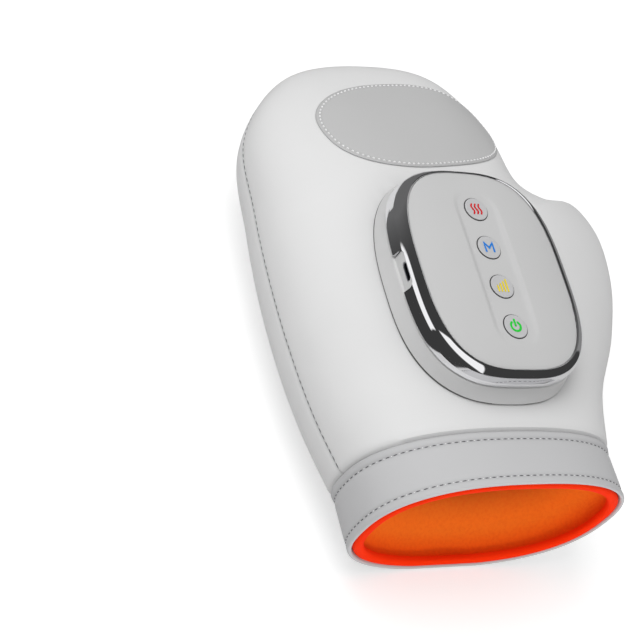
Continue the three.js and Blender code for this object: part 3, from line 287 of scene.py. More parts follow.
def body_points(origins, directions, inset, elevations):
    """A row of points for each ray, from the palm over the side seam to the back of the hand."""
    inset = np.broadcast_to(np.asarray(inset, float), (len(origins),))
    reach = reach_inside(origins, directions, inset)
    share = np.maximum(np.cos(elevations), 0) ** (2 / SECTION_POWER)
    lift = np.abs(np.sin(elevations)) ** (2 / SECTION_POWER)
    plan = origins[:, None] + directions[:, None] * (reach[:, None] * share)[..., None]
    is_top = elevations >= 0
    y = origins[:, 1:]
    tall = np.where(is_top, half_height(y, True), half_height(y, False))
    rise = (tall - inset[:, None]) * lift * np.where(is_top, 1, -1)
    height = SEAM_HEIGHT + rise * taper(plan[..., 0], plan[..., 1])
    return np.dstack([plan, np.maximum(height, inset[:, None])])


def height_at(x, y, inset):
    """Height of the back of the hand over the points x, y."""
    origins = np.column_stack([np.zeros_like(x), np.minimum(y, FAN_Y)])
    offsets = np.column_stack([x, y]) - origins
    away = np.maximum(np.linalg.norm(offsets, axis=1), SEAT_GAP)
    directions = np.where(away[:, None] > SEAT_GAP, offsets / away[:, None], [1.0, 0.0])
    share = np.clip(away / reach_inside(origins, directions, inset), 0, 1)
    lift = (1 - share**SECTION_POWER) ** (1 / SECTION_POWER)
    return SEAM_HEIGHT + (half_height(origins[:, 1], True) - inset) * lift * taper(x, y)


def stations(start_y):
    """Rays that go up the thumb's side, fan round the fingertips and come back down the other side."""
    rows = np.linspace(start_y, FAN_Y, SECTION_ROWS, endpoint=False)
    angles = np.linspace(0, math.pi, FAN_ROWS)
    fan = np.column_stack([np.cos(angles), np.sin(angles)])
    right = np.tile([1.0, 0.0], (len(rows), 1))
    places = np.concatenate([rows, np.full(len(angles), FAN_Y), rows[::-1]])
    origins = np.column_stack([np.zeros_like(places), places])
    return origins, np.vstack([right, fan, -right])


def from_seam(count):
    """Elevations from the side seam to the crest, closer together at the seam."""
    return np.linspace(0, 1, count) ** SEAM_CROWDING * math.pi / 2


def both_halves():
    """Elevations from the palm's lowest line over the seam to the crest."""
    half = from_seam(ELEVATIONS)
    return np.concatenate([-half[:0:-1], half])


def bell(offset, width):
    """One at no offset, fading out within about the width."""
    return np.exp(-((offset / width) ** 2))


def oval(half_width, half_length, power, centre, turn, steps):
    """A rounded outline in plan: power 2 is an ellipse, more is squarer."""
    angles = np.linspace(0, 2 * math.pi, steps, endpoint=False)
    bend = lambda value: np.sign(value) * np.abs(value) ** (2 / power)
    x, y = half_width * bend(np.cos(angles)), half_length * bend(np.sin(angles))
    across = centre[0] + x * math.cos(turn) - y * math.sin(turn)
    along = centre[1] + x * math.sin(turn) + y * math.cos(turn)
    return np.column_stack([across, along])


def distance_to(points, ring):
    """How far points lie in plan from the nearest point of a ring."""
    return np.linalg.norm(points[:, None, :2] - ring[None], axis=2).min(1)


# Meshes


def link_object(name, data):
    made = bpy.data.objects.new(name, data)
    bpy.context.collection.objects.link(made)
    return made


def new_object(name, points, faces):
    mesh = bpy.data.meshes.new(name)
    mesh.from_pydata([tuple(map(float, p)) for p in points], [], faces)
    return link_object(name, mesh)


def tidy_mesh(made):
    shape = bmesh.new()
    shape.from_mesh(made.data)
    bmesh.ops.remove_doubles(shape, verts=shape.verts, dist=MERGE_DISTANCE)
    bmesh.ops.dissolve_degenerate(shape, edges=shape.edges, dist=MERGE_DISTANCE)
    bmesh.ops.recalc_face_normals(shape, faces=shape.faces)
    shape.to_mesh(made.data)
    shape.free()
    return made


def grid_faces(rows, columns, start=0, closed_rows=False, closed_columns=False):
    faces = []
    for i in range(rows if closed_rows else rows - 1):
        for j in range(columns if closed_columns else columns - 1):
            a, b = start + i * columns, start + ((i + 1) % rows) * columns
            k = (j + 1) % columns
            faces.append((a + j, a + k, b + k, b + j))
    return faces


def walls(edges, offset):
    """Faces between lines of points and the same lines a number of points on."""
    return [(a, b, offset + b, offset + a) for edge in edges for a, b in zip(edge, edge[1:])]


def skin_solid(name, outer, inner, walled_columns=(0,)):
    """A closed skin between two grids of points: rows are stations, columns run from the seam."""
    rows, columns = outer.shape[:2]
    count = rows * columns
    faces = grid_faces(rows, columns) + [f[::-1] for f in grid_faces(rows, columns, count)]
    edges = [range(i * columns, (i + 1) * columns) for i in (0, rows - 1)]
    edges += [range(j, count, columns) for j in walled_columns]
    points = np.vstack([outer.reshape(-1, 3), inner.reshape(-1, 3)])
    return tidy_mesh(new_object(name, points, faces + walls(edges, count)))


def loft(name, rings):
    """A closed solid through rings of points, capped at both ends."""
    steps = len(rings[0])
    faces = grid_faces(len(rings), steps, closed_columns=True)
    faces += [tuple(range(steps)), tuple(range((len(rings) - 1) * steps, len(rings) * steps))]
    return tidy_mesh(new_object(name, np.vstack(rings), faces))


def band(name, rings):
    """A closed ring-shaped solid: the rings are its profile, carried round."""
    faces = grid_faces(len(rings), len(rings[0]), closed_rows=True, closed_columns=True)
    return tidy_mesh(new_object(name, np.vstack(rings), faces))


def combine(made, operation, *others):
    """Cuts other solids out of one, joins them to it or keeps what they share."""
    for other in others:
        modifier = made.modifiers.new("combine", "BOOLEAN")
        modifier.operation = operation
        modifier.solver = "EXACT"
        modifier.object = other
        evaluated = made.evaluated_get(bpy.context.evaluated_depsgraph_get())
        mesh = bpy.data.meshes.new_from_object(evaluated)
        made.modifiers.clear()
        made.data = mesh
        bpy.data.objects.remove(other)


def write_painted_shade(made, domain, depths):
    """Keeps how much painted shade each point or face gets, from 0 to 1, for the material to darken: shade
    in creases, grooves and gaps.
    """
    layer = made.data.attributes.new("painted_shade", "FLOAT", domain)
    layer.data.foreach_set("value", np.clip(depths, 0, 1).astype(np.float32))


def mark_crease_shade(made, depth_of):
    write_painted_shade(made, "POINT", depth_of(np.array([v.co for v in made.data.vertices])))


def mark_gap_shade(made, in_shaded_gap):
    """Paints shade on faces in a gap, picked by their centres and by how far up they face."""
    centres = np.array([p.center for p in made.data.polygons])
    lean = np.array([p.normal.z for p in made.data.polygons])
    write_painted_shade(made, "FACE", in_shaded_gap(centres, lean))


# Edges past these angles stay sharp, and the icons are flat all over
SHARP_DEGREES = {
    "cover_leather": 30,
    "patch_leather": 50,
    "cuff_leather": 50,
    "orange_fabric": 60,
    "rim": 60,
    "dark_thread": 70,
    "white_thread": 70,
    "shell_plastic": 35,
    "chrome": 25,
    "plate_plastic": 40,
    "button_plastic": 40,
}


def finish_piece(made, slot, body=ROOT, replaces=(), material=None):
    material = material or slot
    if material in SHARP_DEGREES:
        made.data.shade_smooth()
        made.data.set_sharp_from_angle(angle=math.radians(SHARP_DEGREES[material]))
    made.data.materials.clear()
    made.data.materials.append(MATERIALS[material])
    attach(made, body)
    if replaces:
        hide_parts(*replaces)


def pod_oval(half_width, half_length, power, z):
    plan = oval(half_width, half_length, power, (0, POD_CENTRE_Y), 0, POD_STEPS)
    return np.column_stack([plan, np.full(POD_STEPS, z)])


def pod_ring(growth, z):
    end_growth = growth - END_TRIM * min(max(growth, 0) / RING_WIDTH, 1)
    return pod_oval(PLATE_HALF_WIDTH + growth, PLATE_HALF_LENGTH + end_growth, POD_POWER, z)


def skirt_ring(growth, z):
    """Outline of the pedestal's wall: its foot has rounder corners than the ring."""
    spread = min(max((growth - STEP_GROWTH) / (FOOT_GROWTH - STEP_GROWTH), 0), 1)
    power = POD_POWER + (FOOT_POWER - POD_POWER) * spread
    half_width = PLATE_HALF_WIDTH + growth - FOOT_SIDE_TRIM * spread
    return pod_oval(half_width, PLATE_HALF_LENGTH + growth - END_TRIM, power, z)


def pod_prism(growth, low_z, high_z):
    """An upright solid with the pod's outline."""
    return loft("prism", [pod_ring(growth, z) for z in (low_z, high_z)])


def turned(name, profile, y, steps):
    """A turned piece on an upright axis at y, from pairs of radius and height."""
    angles = np.linspace(0, 2 * math.pi, steps, endpoint=False)
    across, along = np.cos(angles), np.sin(angles)
    rings = [np.column_stack([r * across, y + r * along, np.full(steps, z)]) for r, z in profile]
    return loft(name, rings)


def prism_along_x(ring, ends, y, z):
    """A bar along X between two ends, with the ring as its section round y and z."""
    rings = [np.column_stack([np.full(len(ring), x), y + ring[:, 0], z + ring[:, 1]]) for x in ends]
    return loft("prism", rings)


def round_ended(half_length, half_height):
    """Outline of a slot with round ends."""
    turns = np.linspace(-math.pi / 2, math.pi / 2, BAR_END_STEPS)
    straight = half_length - half_height
    right = np.column_stack([straight + half_height * np.cos(turns), half_height * np.sin(turns)])
    return np.vstack([right, -right])


def rounded_edge(reach, top_z, radius, steps):
    """Profile points that round an upper outer edge."""
    turns = np.linspace(0, math.pi / 2, steps)
    return [(reach - radius * (1 - math.cos(t)), top_z - radius * (1 - math.sin(t))) for t in turns]


# Materials

# Colours of painted shade: leather darkens toward the first in its creases, plastic toward the second in
# its gaps and grooves
CREASE_SHADE_COLOUR = "8c8c8e"
GAP_SHADE_COLOUR = "5a5a5a"
GRAIN_DEPTH = 0.00010
WRINKLE_DEPTH = 0.00012
TWIST_DEPTH = 0.0001
KNIT_DEPTH = 0.0002
LOOP_DEPTH = 0.00015
LAMINATE_DEPTH = 0.0001
SPARK_DEPTH = 0.00003
LINE_DEPTH = 0.00002
TRACK_DEPTH = 0.00004
CRINKLE_DEPTH = 0.0003
DUST_DEPTH = 0.00006
PORE_DEPTH = 0.0005
WEAVE_DEPTH = 0.0001
CARBON_DEPTH = 0.0001
INK_GRAIN_DEPTH = 0.00002
GLOW_KNIT_END = 0.013
SHADE_KNIT_START = 0.016
SHADE_KNIT_END = 0.040


def shade_of(text):
    """A colour written as six hexadecimal digits, in the renderer's linear values."""
    parts = [int(text[i : i + 2], 16) / 255 for i in (0, 2, 4)]
    linear = [p / 12.92 if p <= 0.04045 else ((p + 0.055) / 1.055) ** 2.4 for p in parts]
    return (*linear, 1)


class Nodes:
    """Short calls that add nodes to a world or to a material."""

    def __init__(self, tree):
        self.tree = tree

    def feed(self, socket, value):
        """Links an output to a socket, or sets it to a number, a place or a colour."""
        if isinstance(value, bpy.types.NodeSocket):
            self.tree.links.new(value, socket)
        else:
            socket.default_value = shade_of(value) if isinstance(value, str) else value

    def add(self, kind, inputs=None, output=0, **settings):
        made = self.tree.nodes.new("ShaderNode" + kind)
        for key, value in settings.items():
            setattr(made, key, value)
        for key, value in (inputs or {}).items():
            self.feed(made.inputs[key], value)
        return made.outputs[output]

    def spread(self, value, low, high, start=0.0, end=1.0):
        """Carries what lies between start and end over to between low and high."""
        inputs = {"Value": value, "From Min": start, "From Max": end, "To Min": low, "To Max": high}
        return self.add("MapRange", inputs)

    def mix(self, share, first, second):
        return self.add("MixShader", {0: share, 1: first, 2: second})

    def light(self, strength):
        return self.add("Background", {"Color": (1, 1, 1, 1), "Strength": strength})

    def seen_by(self, ray):
        return self.add("LightPath", output=ray)


class Surface(Nodes):
    """A material, with the patterns that it is drawn from."""

    def __init__(self, name, roughness, metallic=0.0):
        self.material = bpy.data.materials.new(name)
        self.material.use_nodes = True
        super().__init__(self.material.node_tree)
        self.shader = self.tree.nodes["Principled BSDF"]
        self.set(Roughness=roughness, Metallic=metallic)
        self.place = self.add("TexCoord", output="Object")

    def set(self, **values):
        for key, value in values.items():
            self.feed(self.shader.inputs[key.replace("_", " ")], value)

    def noise(self, scale, detail=2.0):
        inputs = {"Vector": self.place, "Scale": scale, "Detail": detail}
        return self.add("TexNoise", inputs, "Fac")

    def cells(self, scale):
        inputs = {"Vector": self.place, "Scale": scale}
        return self.add("TexVoronoi", inputs, "Distance", feature="F1")

    def waves(self, scale, direction="X", distortion=0.0, kind="BANDS"):
        inputs = {"Vector": self.place, "Scale": scale, "Distortion": distortion}
        along = {kind.lower() + "_direction": direction}
        return self.add("TexWave", inputs, "Fac", wave_type=kind, **along)

    def blend(self, share, first, second):
        return self.add("Mix", {0: share, 6: first, 7: second}, 2, data_type="RGBA")

    def tint(self, pattern, light, dark, most=1.0, start=0.0, end=1.0):
        """Colours the surface light to dark by a pattern."""
        self.set(Base_Color=self.blend(self.spread(pattern, 0, most, start, end), light, dark))

    def with_painted_shade(self, base, colour):
        """The base colour, darkened by painted shade as far as the piece's shade attribute says."""
        depth = self.add("Attribute", output="Fac", attribute_name="painted_shade")
        return self.blend(depth, base, colour)

    def bump(self, height, strength, distance, under=None):
        inputs = {"Height": height, "Strength": strength, "Distance": distance}
        if under is not None:
            inputs["Normal"] = under
        normal = self.add("Bump", inputs, "Normal")
        self.set(Normal=normal)
        return normal


def leather_material(name, light, dark, roughness):
    """Smooth artificial leather: fine pebbled grain, faint cloudiness, and painted shade and shadow where
    each piece marks them, at seams, folds and stitches.
    """
    made = Surface(name, roughness)
    cloud = made.spread(made.noise(14, 3), 0, 0.35, 0.35, 0.75)
    made.set(Base_Color=made.with_painted_shade(made.blend(cloud, light, dark), CREASE_SHADE_COLOUR))
    made.set(Roughness=made.spread(made.noise(90), roughness - 0.05, roughness + 0.07))
    grain = made.bump(made.cells(1100), 0.10, GRAIN_DEPTH)
    made.bump(made.noise(420, 3), 0.12, WRINKLE_DEPTH, grain)
    return made.material


def thread_material(name, colour, shadow):
    """Twisted sewing thread."""
    made = Surface(name, 0.7)
    twist = made.waves(900, "DIAGONAL")
    made.tint(twist, colour, shadow, 0.5)
    made.bump(twist, 0.3, TWIST_DEPTH)
    return made.material


def lining_material():
    """Brushed knit. Painted glow: a lighter orange a little inside the mouth. Painted shade: browner far
    inside the mitten.
    """
    made = Surface("brushed_knit", 0.9)
    depth = made.add("SeparateXYZ", {"Vector": made.place}, "Y")
    # Painted glow, red-orange at the mouth turning lighter orange a little inside, then painted shade,
    # browning far inside
    near = made.spread(depth, 0, 1, MOUTH_Y + RIM_DEPTH, MOUTH_Y + GLOW_KNIT_END)
    deep = made.spread(depth, 0, 1, MOUTH_Y + SHADE_KNIT_START, MOUTH_Y + SHADE_KNIT_END)
    base = made.blend(deep, made.blend(near, "ff5408", "ff7c20"), "984a1a")
    fleck = made.spread(made.noise(700), 0, 0.25, 0.4, 0.8)
    made.set(Base_Color=made.blend(fleck, base, "e0400a"), Specular_IOR_Level=0.15)
    knit = made.bump(made.waves(650, "X", 1.5), 0.2, KNIT_DEPTH)
    made.bump(made.cells(1400), 0.25, LOOP_DEPTH, knit)
    return made.material


def rim_material():
    """The rolled edge: the same knit laminated smooth."""
    made = Surface("laminated_knit", 0.7)
    made.tint(made.noise(300, 3), "ff3200", "f62a00", 0.2, 0.4, 0.8)
    made.set(Specular_IOR_Level=0.1)
    made.bump(made.cells(1500), 0.15, LAMINATE_DEPTH)
    return made.material


def moulded_material(name, light, dark, roughness):
    """Moulded plastic with a spark-eroded skin and faint flow variation, and painted shade in the gaps and
    grooves marked on each piece.
    """
    made = Surface(name, roughness)
    flow = made.spread(made.noise(25), 0, 0.5, 0.3, 0.8)
    made.set(Base_Color=made.with_painted_shade(made.blend(flow, light, dark), GAP_SHADE_COLOUR))
    made.set(Roughness=made.spread(made.noise(160), roughness - 0.04, roughness + 0.05))
    made.bump(made.noise(2600), 0.25, SPARK_DEPTH)
    return made.material


def chrome_material():
    """Plated plastic with faint handling haze."""
    made = Surface("chrome_plating", 0.05, 1.0)
    made.set(Base_Color="f0f0f2", Roughness=made.spread(made.noise(60, 4), 0.025, 0.075, 0.3, 0.8))
    return made.material


def metal_material(name, light, dark, roughness, kind="BANDS"):
    """Drawn, plated or turned metal with fine lines."""
    made = Surface(name, roughness, 1.0)
    lines = made.waves(1500, "X", 4.0, kind)
    made.tint(lines, light, dark, 0.6)
    made.set(Roughness=made.spread(made.noise(300, 3), roughness - 0.08, roughness + 0.1))
    made.bump(lines, 0.1, LINE_DEPTH)
    return made.material


def board_material():
    """Solder mask with tracks and pads."""
    made = Surface("solder_mask", 0.4)
    tracks = made.spread(made.waves(260, "X", 3.0), 0, 1, 0.8, 0.86)
    pads = made.spread(made.cells(220), 1, 0, 0.12, 0.16)
    made.set(Base_Color=made.blend(pads, made.blend(tracks, "1d6337", "2f8a4c"), "c9a54a"))
    made.bump(tracks, 0.3, TRACK_DEPTH)
    return made.material


def cell_material():
    """Shrink wrap over the cell."""
    made = Surface("shrink_wrap", 0.3)
    crinkle = made.noise(180, 4)
    made.tint(crinkle, "3c69a6", "4c7dbd")
    made.bump(crinkle, 0.3, CRINKLE_DEPTH)
    return made.material


def rubber_material(name, light, dark, roughness=0.75, scale=900):
    """Moulded rubber or wire insulation, dusty and finely pitted."""
    made = Surface(name, roughness)
    dust = made.noise(scale, 4)
    made.tint(dust, light, dark, 1.0, 0.3, 0.7)
    made.bump(dust, 0.25, DUST_DEPTH)
    return made.material


def foam_material():
    """Open-cell padding."""
    made = Surface("open_cell_foam", 0.95)
    pores = made.cells(900)
    made.set(Base_Color=made.blend(pores, "9f9a8c", "ded9cb"))
    made.bump(pores, 0.6, PORE_DEPTH)
    return made.material


def bladder_material():
    """Coated cloth: a plain weave under a satin film."""
    made = Surface("coated_cloth", 0.45)
    weave, across = made.waves(900, "X"), made.waves(900, "Y")
    made.tint(weave, "8b9097", "777c84", 0.6)
    under = made.bump(weave, 0.2, WEAVE_DEPTH)
    made.bump(across, 0.2, WEAVE_DEPTH, under)
    return made.material


def film_material():
    """Heating film with printed carbon tracks."""
    made = Surface("carbon_film", 0.45)
    tracks = made.spread(made.waves(95, "Y"), 0, 1, 0.45, 0.55)
    made.set(Base_Color=made.blend(tracks, "3a2a20", "16110e"))
    made.bump(tracks, 0.3, CARBON_DEPTH)
    return made.material


def ink_material(name, light, dark):
    """Printed ink, a little uneven."""
    made = Surface(name, 0.45)
    made.set(Base_Color=made.blend(made.noise(500), light, dark))
    made.bump(made.noise(2500), 0.15, INK_GRAIN_DEPTH)
    return made.material


# Keyed by slot, and by their own names where a piece shows something else than its slot's material
MATERIALS = {
    "cover_leather": leather_material("cover_leather", "e6e6e6", "dcdcdc", 0.48),
    "patch_leather": leather_material("patch_leather", "c3c3c3", "bbbbbb", 0.55),
    "cuff_leather": leather_material("cuff_leather", "c8c8c9", "c0c0c2", 0.5),
    "orange_fabric": lining_material(),
    "rim": rim_material(),
    "dark_thread": thread_material("dark_thread", "5c5c60", "3c3c40"),
    "white_thread": thread_material("white_thread", "fbfbfb", "e2e2e2"),
    "shell_plastic": moulded_material("shell_plastic", "d5d5d5", "cecece", 0.42),
    "plate_plastic": moulded_material("plate_plastic", "c9c9c9", "c4c4c4", 0.5),
    "button_plastic": moulded_material("button_plastic", "c3c3c4", "bebec0", 0.42),
    "dark_plastic": moulded_material("dark_plastic", "2a2c2f", "222426", 0.55),
    "chrome": chrome_material(),
    "steel": metal_material("zinc_plating", "b4b6bb", "8f9298", 0.35),
    "brass": metal_material("turned_brass", "c29a45", "9c7a30", 0.3, "RINGS"),
    "board": board_material(),
    "cell": cell_material(),
    "rubber": rubber_material("black_rubber", "2e2e2e", "1f1f1f"),
    "hose": rubber_material("clear_silicone", "e0e4e6", "c9cfd2", 0.35),
    "lead": rubber_material("wire_insulation", "b8281f", "94201a", 0.5, 400),
    "foam": foam_material(),
    "bladder": bladder_material(),
    "film": film_material(),
    "heat_ink": ink_material("red_ink", "e01018", "cc0c14"),
    "mode_ink": ink_material("blue_ink", "1484e0", "1078d4"),
    "level_ink": ink_material("yellow_ink", "f2dc20", "e6d018"),
    "power_ink": ink_material("green_ink", "1ed83c", "18cc34"),
}


def dress_cad_nodes():
    for row in frame["record"]["subparts"]:
        node = frame["nodes"][row["node"]]
        node.data.materials.clear()
        node.data.materials.append(MATERIALS[row["material_slot"]])


# Leather covers

SEAM_PINCH = 0.0004
SEAM_PINCH_WIDTH = 0.0012
SEAM_EDGE = SEAT_GAP / 2
# Painted shade at the side seam and the tuck, and painted shadow round the pedestal
SEAM_SHADE_SHARE = 0.25
SEAM_SHADE_WIDTH = 0.0005
TUCK_SHADE_SHARE = 0.3
TUCK_SHADE_WIDTH = 0.0009
POD_SHADOW_SHARE = 0.2
POD_SHADOW_WIDTH = 0.007


def cover_grid(side, depth):
    """A grid over one half of the body, moved in by depth, with the seam pulled in."""
    origins, directions = stations(CUFF_SEAM_Y - TUCK_LENGTH)
    untucked = smooth_step(TUCK_Y, TUCK_Y + TUCK_RAMP, origins[:, 1])
    inset = TUCK_INSET * (1 - untucked) + depth
    grid = body_points(origins, directions, inset, from_seam(ELEVATIONS) * side)
    grid[:, 0, 2] = SEAM_HEIGHT + side * SEAM_EDGE
    pinch = SEAM_PINCH * bell(grid[..., 2] - SEAM_HEIGHT, SEAM_PINCH_WIDTH) * untucked[:, None]
    grid[..., :2] -= directions[:, None] * pinch[..., None]
    return grid


def pod_shadow(points):
    """Soft darkening of the leather where it goes under the pedestal."""
    away = distance_to(points, skirt_ring(FOOT_GROWTH, 0)[:, :2])
    return POD_SHADOW_SHARE * np.exp(-away / POD_SHADOW_WIDTH)


def make_cover(name, side):
    is_top = side > 0
    cover = skin_solid(name + "_leather", cover_grid(side, 0), cover_grid(side, LEATHER))
    if is_top:
        hole = pod_prism(LEATHER_HOLE_GROWTH, TUB_BOTTOM_Z - CUT_OVERRUN, PLATE_EDGE_Z)
        combine(cover, "DIFFERENCE", hole)

    # Painted shade along the seam and at the tuck under the cuff, and painted shadow round the pedestal on
    # the top cover
    def painted_shade(points):
        seam = SEAM_SHADE_SHARE * bell(points[:, 2] - SEAM_HEIGHT, SEAM_SHADE_WIDTH)
        tuck = TUCK_SHADE_SHARE * bell(points[:, 1] - TUCK_Y, TUCK_SHADE_WIDTH)
        return seam + tuck + (pod_shadow(points) if is_top else 0)

    mark_crease_shade(cover, painted_shade)
    finish_piece(cover, "cover_leather", replaces=[name])


# Finger patch

PATCH_POD_GAP = 0.0092
PATCH_TIP_GAP = 0.0242
PATCH_START_Y = POD_CENTRE_Y + PLATE_HALF_LENGTH + FOOT_GROWTH - END_TRIM + PATCH_POD_GAP
PATCH_END_Y = TIP_Y - PATCH_TIP_GAP
PATCH_HALF_LENGTH = (PATCH_END_Y - PATCH_START_Y) / 2
PATCH_HALF_WIDTH = 0.0512
PATCH_CENTRE_X = 0.0042
PATCH_CENTRE = np.array([PATCH_CENTRE_X, PATCH_START_Y + PATCH_HALF_LENGTH])
PATCH_TURN = math.radians(10)
PATCH_POWER = 2.36
PATCH_THICKNESS = 0.0007
PATCH_STEPS = 160
PATCH_INNER_ROWS = 18
PATCH_INNER_SHARE = 0.9
PATCH_OUTER_ROWS = 8
PATCH_OUTER_SHARE = 0.92
PATCH_UNDER_STRIDE = 3
PATCH_EDGE_DROP_SHARE = 0.7
PATCH_EDGE_ROUND = 0.0004
# Painted shade round the patch's edge and along its stitching
PATCH_EDGE_SHADE_SHARE = 0.25
PATCH_EDGE_SHADE_WIDTH = 0.0004
STITCH_INSET = 0.0016
STITCH_SHADE_SHARE = 0.22
STITCH_SHADE_WIDTH = 0.0008


def patch_outline(growth, steps=PATCH_STEPS):
    half_width, half_length = PATCH_HALF_WIDTH + growth, PATCH_HALF_LENGTH + growth
    return oval(half_width, half_length, PATCH_POWER, PATCH_CENTRE, PATCH_TURN, steps)


def lay_on_back(plan, lift):
    """Points over a plan, lifted off the leather of the back of the hand."""
    return np.column_stack([plan, height_at(plan[:, 0], plan[:, 1], -lift)])


def make_patch():
    inner = np.linspace(0, PATCH_INNER_SHARE, PATCH_INNER_ROWS)
    outer = np.linspace(PATCH_OUTER_SHARE, 1, PATCH_OUTER_ROWS)
    shares = np.concatenate([inner, outer])[1:]
    edge = patch_outline(0)
    plans = [PATCH_CENTRE + (edge - PATCH_CENTRE) * share for share in shares]
    drops = PATCH_EDGE_DROP_SHARE * np.exp((shares - 1) * PATCH_HALF_LENGTH / PATCH_EDGE_ROUND)
    lifts = SEAT_GAP + PATCH_THICKNESS * (1 - drops)
    upper = [lay_on_back(plan, lift) for plan, lift in zip(plans, lifts)]
    lower = [lay_on_back(plan, SEAT_GAP) for plan in plans[::-PATCH_UNDER_STRIDE]]
    patch = loft("finger_patch_leather", [*upper, *lower])
    groove = patch_outline(-STITCH_INSET, 4 * PATCH_STEPS)

    # Painted shade along the stitch groove and round the patch's edge
    def painted_shade(points):
        sewn = STITCH_SHADE_SHARE * bell(distance_to(points, groove), STITCH_SHADE_WIDTH)
        rim = PATCH_EDGE_SHADE_SHARE * bell(distance_to(points, edge), PATCH_EDGE_SHADE_WIDTH)
        return sewn + rim

    mark_crease_shade(patch, painted_shade)
    finish_piece(patch, "patch_leather", replaces=["finger_patch"])


# Cuff, mouth rim and lining

BAND_STEPS = 44
LIP_SHARES = [(0, 1), (0.04, 0.62), (0.15, 0.3), (0.32, 0.08), (0.5, 0)]
LIP_SHARES += [(1 - across, along) for across, along in LIP_SHARES[-2::-1]]
CUFF_LIP = 0.0016
CUFF_TOP_EDGE = [(2 * SEAT_GAP, 0), (SEAT_GAP, 0.0002), (0, 0.0006)]
CUFF_TOP_DROP = 0.001
CUFF_LIP_GAP = 0.0003
CUFF_OUTER_ROWS = 60
CUFF_INNER_ROWS = 14
CUFF_SHADE_WIDTH = 0.0008
LOWER_STITCH_RISE = 0.0040
UPPER_STITCH_Y = CUFF_SEAM_Y
LOWER_STITCH_Y = MOUTH_Y + LOWER_STITCH_RISE
STITCH_GROOVE = 0.0004
STITCH_GROOVE_WIDTH = 0.0011
GROOVE_SHARES = [(UPPER_STITCH_Y, 1), (LOWER_STITCH_Y, 0.7)]
# Painted shade at each row: its y and how dark
CUFF_SHADE_SHARES = [(UPPER_STITCH_Y, 0.3), (LOWER_STITCH_Y, 0.25), (TUCK_Y, 0.25)]
RIM_TURN_STEPS = 15
RIM_POWER = 0.6
RIM_BACK_SHARES = (0.8, 0.6, 0.4, 0.2)
FILM_POD_GAP = 0.006
FLARE_GAP = 0.0062
FLARE_END_Y = POD_CENTRE_Y - PLATE_HALF_LENGTH - FILM_POD_GAP - FLARE_GAP
LINING_START_Y = MOUTH_Y + RIM_DEPTH + SEAT_GAP
LINING_MOUTH_INSET = TUCK_INSET + LEATHER + SEAT_GAP
RIPPLE = 0.0007
RIPPLE_OUTER_SHARE = 0.3
RIPPLE_WIDTH = 0.0052
RIPPLE_SWING = 1.7
RIPPLE_SWING_LENGTH = 0.021
RIPPLE_HEIGHT = 0.009
RIPPLE_START = 0.004
RIPPLE_FULL = 0.025
RIPPLE_FADE = 0.006


def band_rings(profile):
    """Carries a profile of inset and y round the wrist."""
    elevations = np.linspace(-math.pi / 2, math.pi / 2, BAND_STEPS + 1)
    inset, y = np.array(profile).T
    origins = np.column_stack([np.zeros_like(y), y])
    right, left = (
        body_points(origins, np.tile([side, 0.0], (len(y), 1)), inset, elevations) for side in (1.0, -1.0)
    )
    return [np.vstack([a, b[-2:0:-1]]) for a, b in zip(right, left)]


def at_rows(y, row_shares, width):
    """The sum over rows of a share that fades out along Y."""
    return sum(share * bell(y - row_y, width) for row_y, share in row_shares)


def cuff_dip(y):
    return STITCH_GROOVE * at_rows(y, GROOVE_SHARES, STITCH_GROOVE_WIDTH)


def make_cuff():
    top = [(inset, TUCK_Y - drop) for inset, drop in CUFF_TOP_EDGE]
    side_end_y = MOUTH_Y + CUFF_LIP + CUFF_LIP_GAP
    sides = [(cuff_dip(y), y) for y in np.linspace(TUCK_Y - CUFF_TOP_DROP, side_end_y, CUFF_OUTER_ROWS)]
    lip = [(across * LEATHER, MOUTH_Y + along * CUFF_LIP) for across, along in LIP_SHARES]
    inner_rows = np.linspace(MOUTH_Y + CUFF_LIP, TUCK_Y - SEAT_GAP, CUFF_INNER_ROWS)[1:]
    inner = [(LEATHER, y) for y in inner_rows]
    cuff = band("cuff_band_leather", band_rings([*top, *sides, *lip, *inner]))
    # Painted shade along both stitch rows and at the tuck
    mark_crease_shade(cuff, lambda points: at_rows(points[:, 1], CUFF_SHADE_SHARES, CUFF_SHADE_WIDTH))
    finish_piece(cuff, "cuff_leather", replaces=["cuff_band"])


def make_mouth_rim():
    outer, back_y = LEATHER + SEAT_GAP, MOUTH_Y + RIM_DEPTH
    turns = np.linspace(0, math.pi, RIM_TURN_STEPS)
    across = [outer + RIM_WIDTH * (1 - math.cos(t)) / 2 for t in turns]
    along = [back_y - RIM_DEPTH * math.sin(t) ** RIM_POWER for t in turns]
    back = [(outer + RIM_WIDTH * share, back_y) for share in RIM_BACK_SHARES]
    rim = band("mouth_rim_roll", band_rings([*zip(across, along), *back]))
    finish_piece(rim, "orange_fabric", replaces=["mouth_rim"], material="rim")


def lining_grid(depth, ripple):
    origins, directions = stations(LINING_START_Y)
    narrowed = smooth_step(LINING_START_Y, FLARE_END_Y, origins[:, 1])
    inset = LINING_MOUTH_INSET + (LINING_OUTER - LINING_MOUTH_INSET) * narrowed + depth
    grid = body_points(origins, directions, inset, both_halves())
    x, y, z = grid[..., 0], grid[..., 1], grid[..., 2]
    swing = RIPPLE_SWING * np.sin(y / RIPPLE_SWING_LENGTH)
    fold = (1 + np.sin(x / RIPPLE_WIDTH + swing + z / RIPPLE_HEIGHT)) / 2
    grow = smooth_step(LINING_START_Y + RIPPLE_START, LINING_START_Y + RIPPLE_FULL, y)
    level = np.sign(SEAM_HEIGHT - z) * np.minimum(np.abs(z - SEAM_HEIGHT) / RIPPLE_FADE, 1)
    grid[..., 2] += ripple * fold * grow * level
    return grid


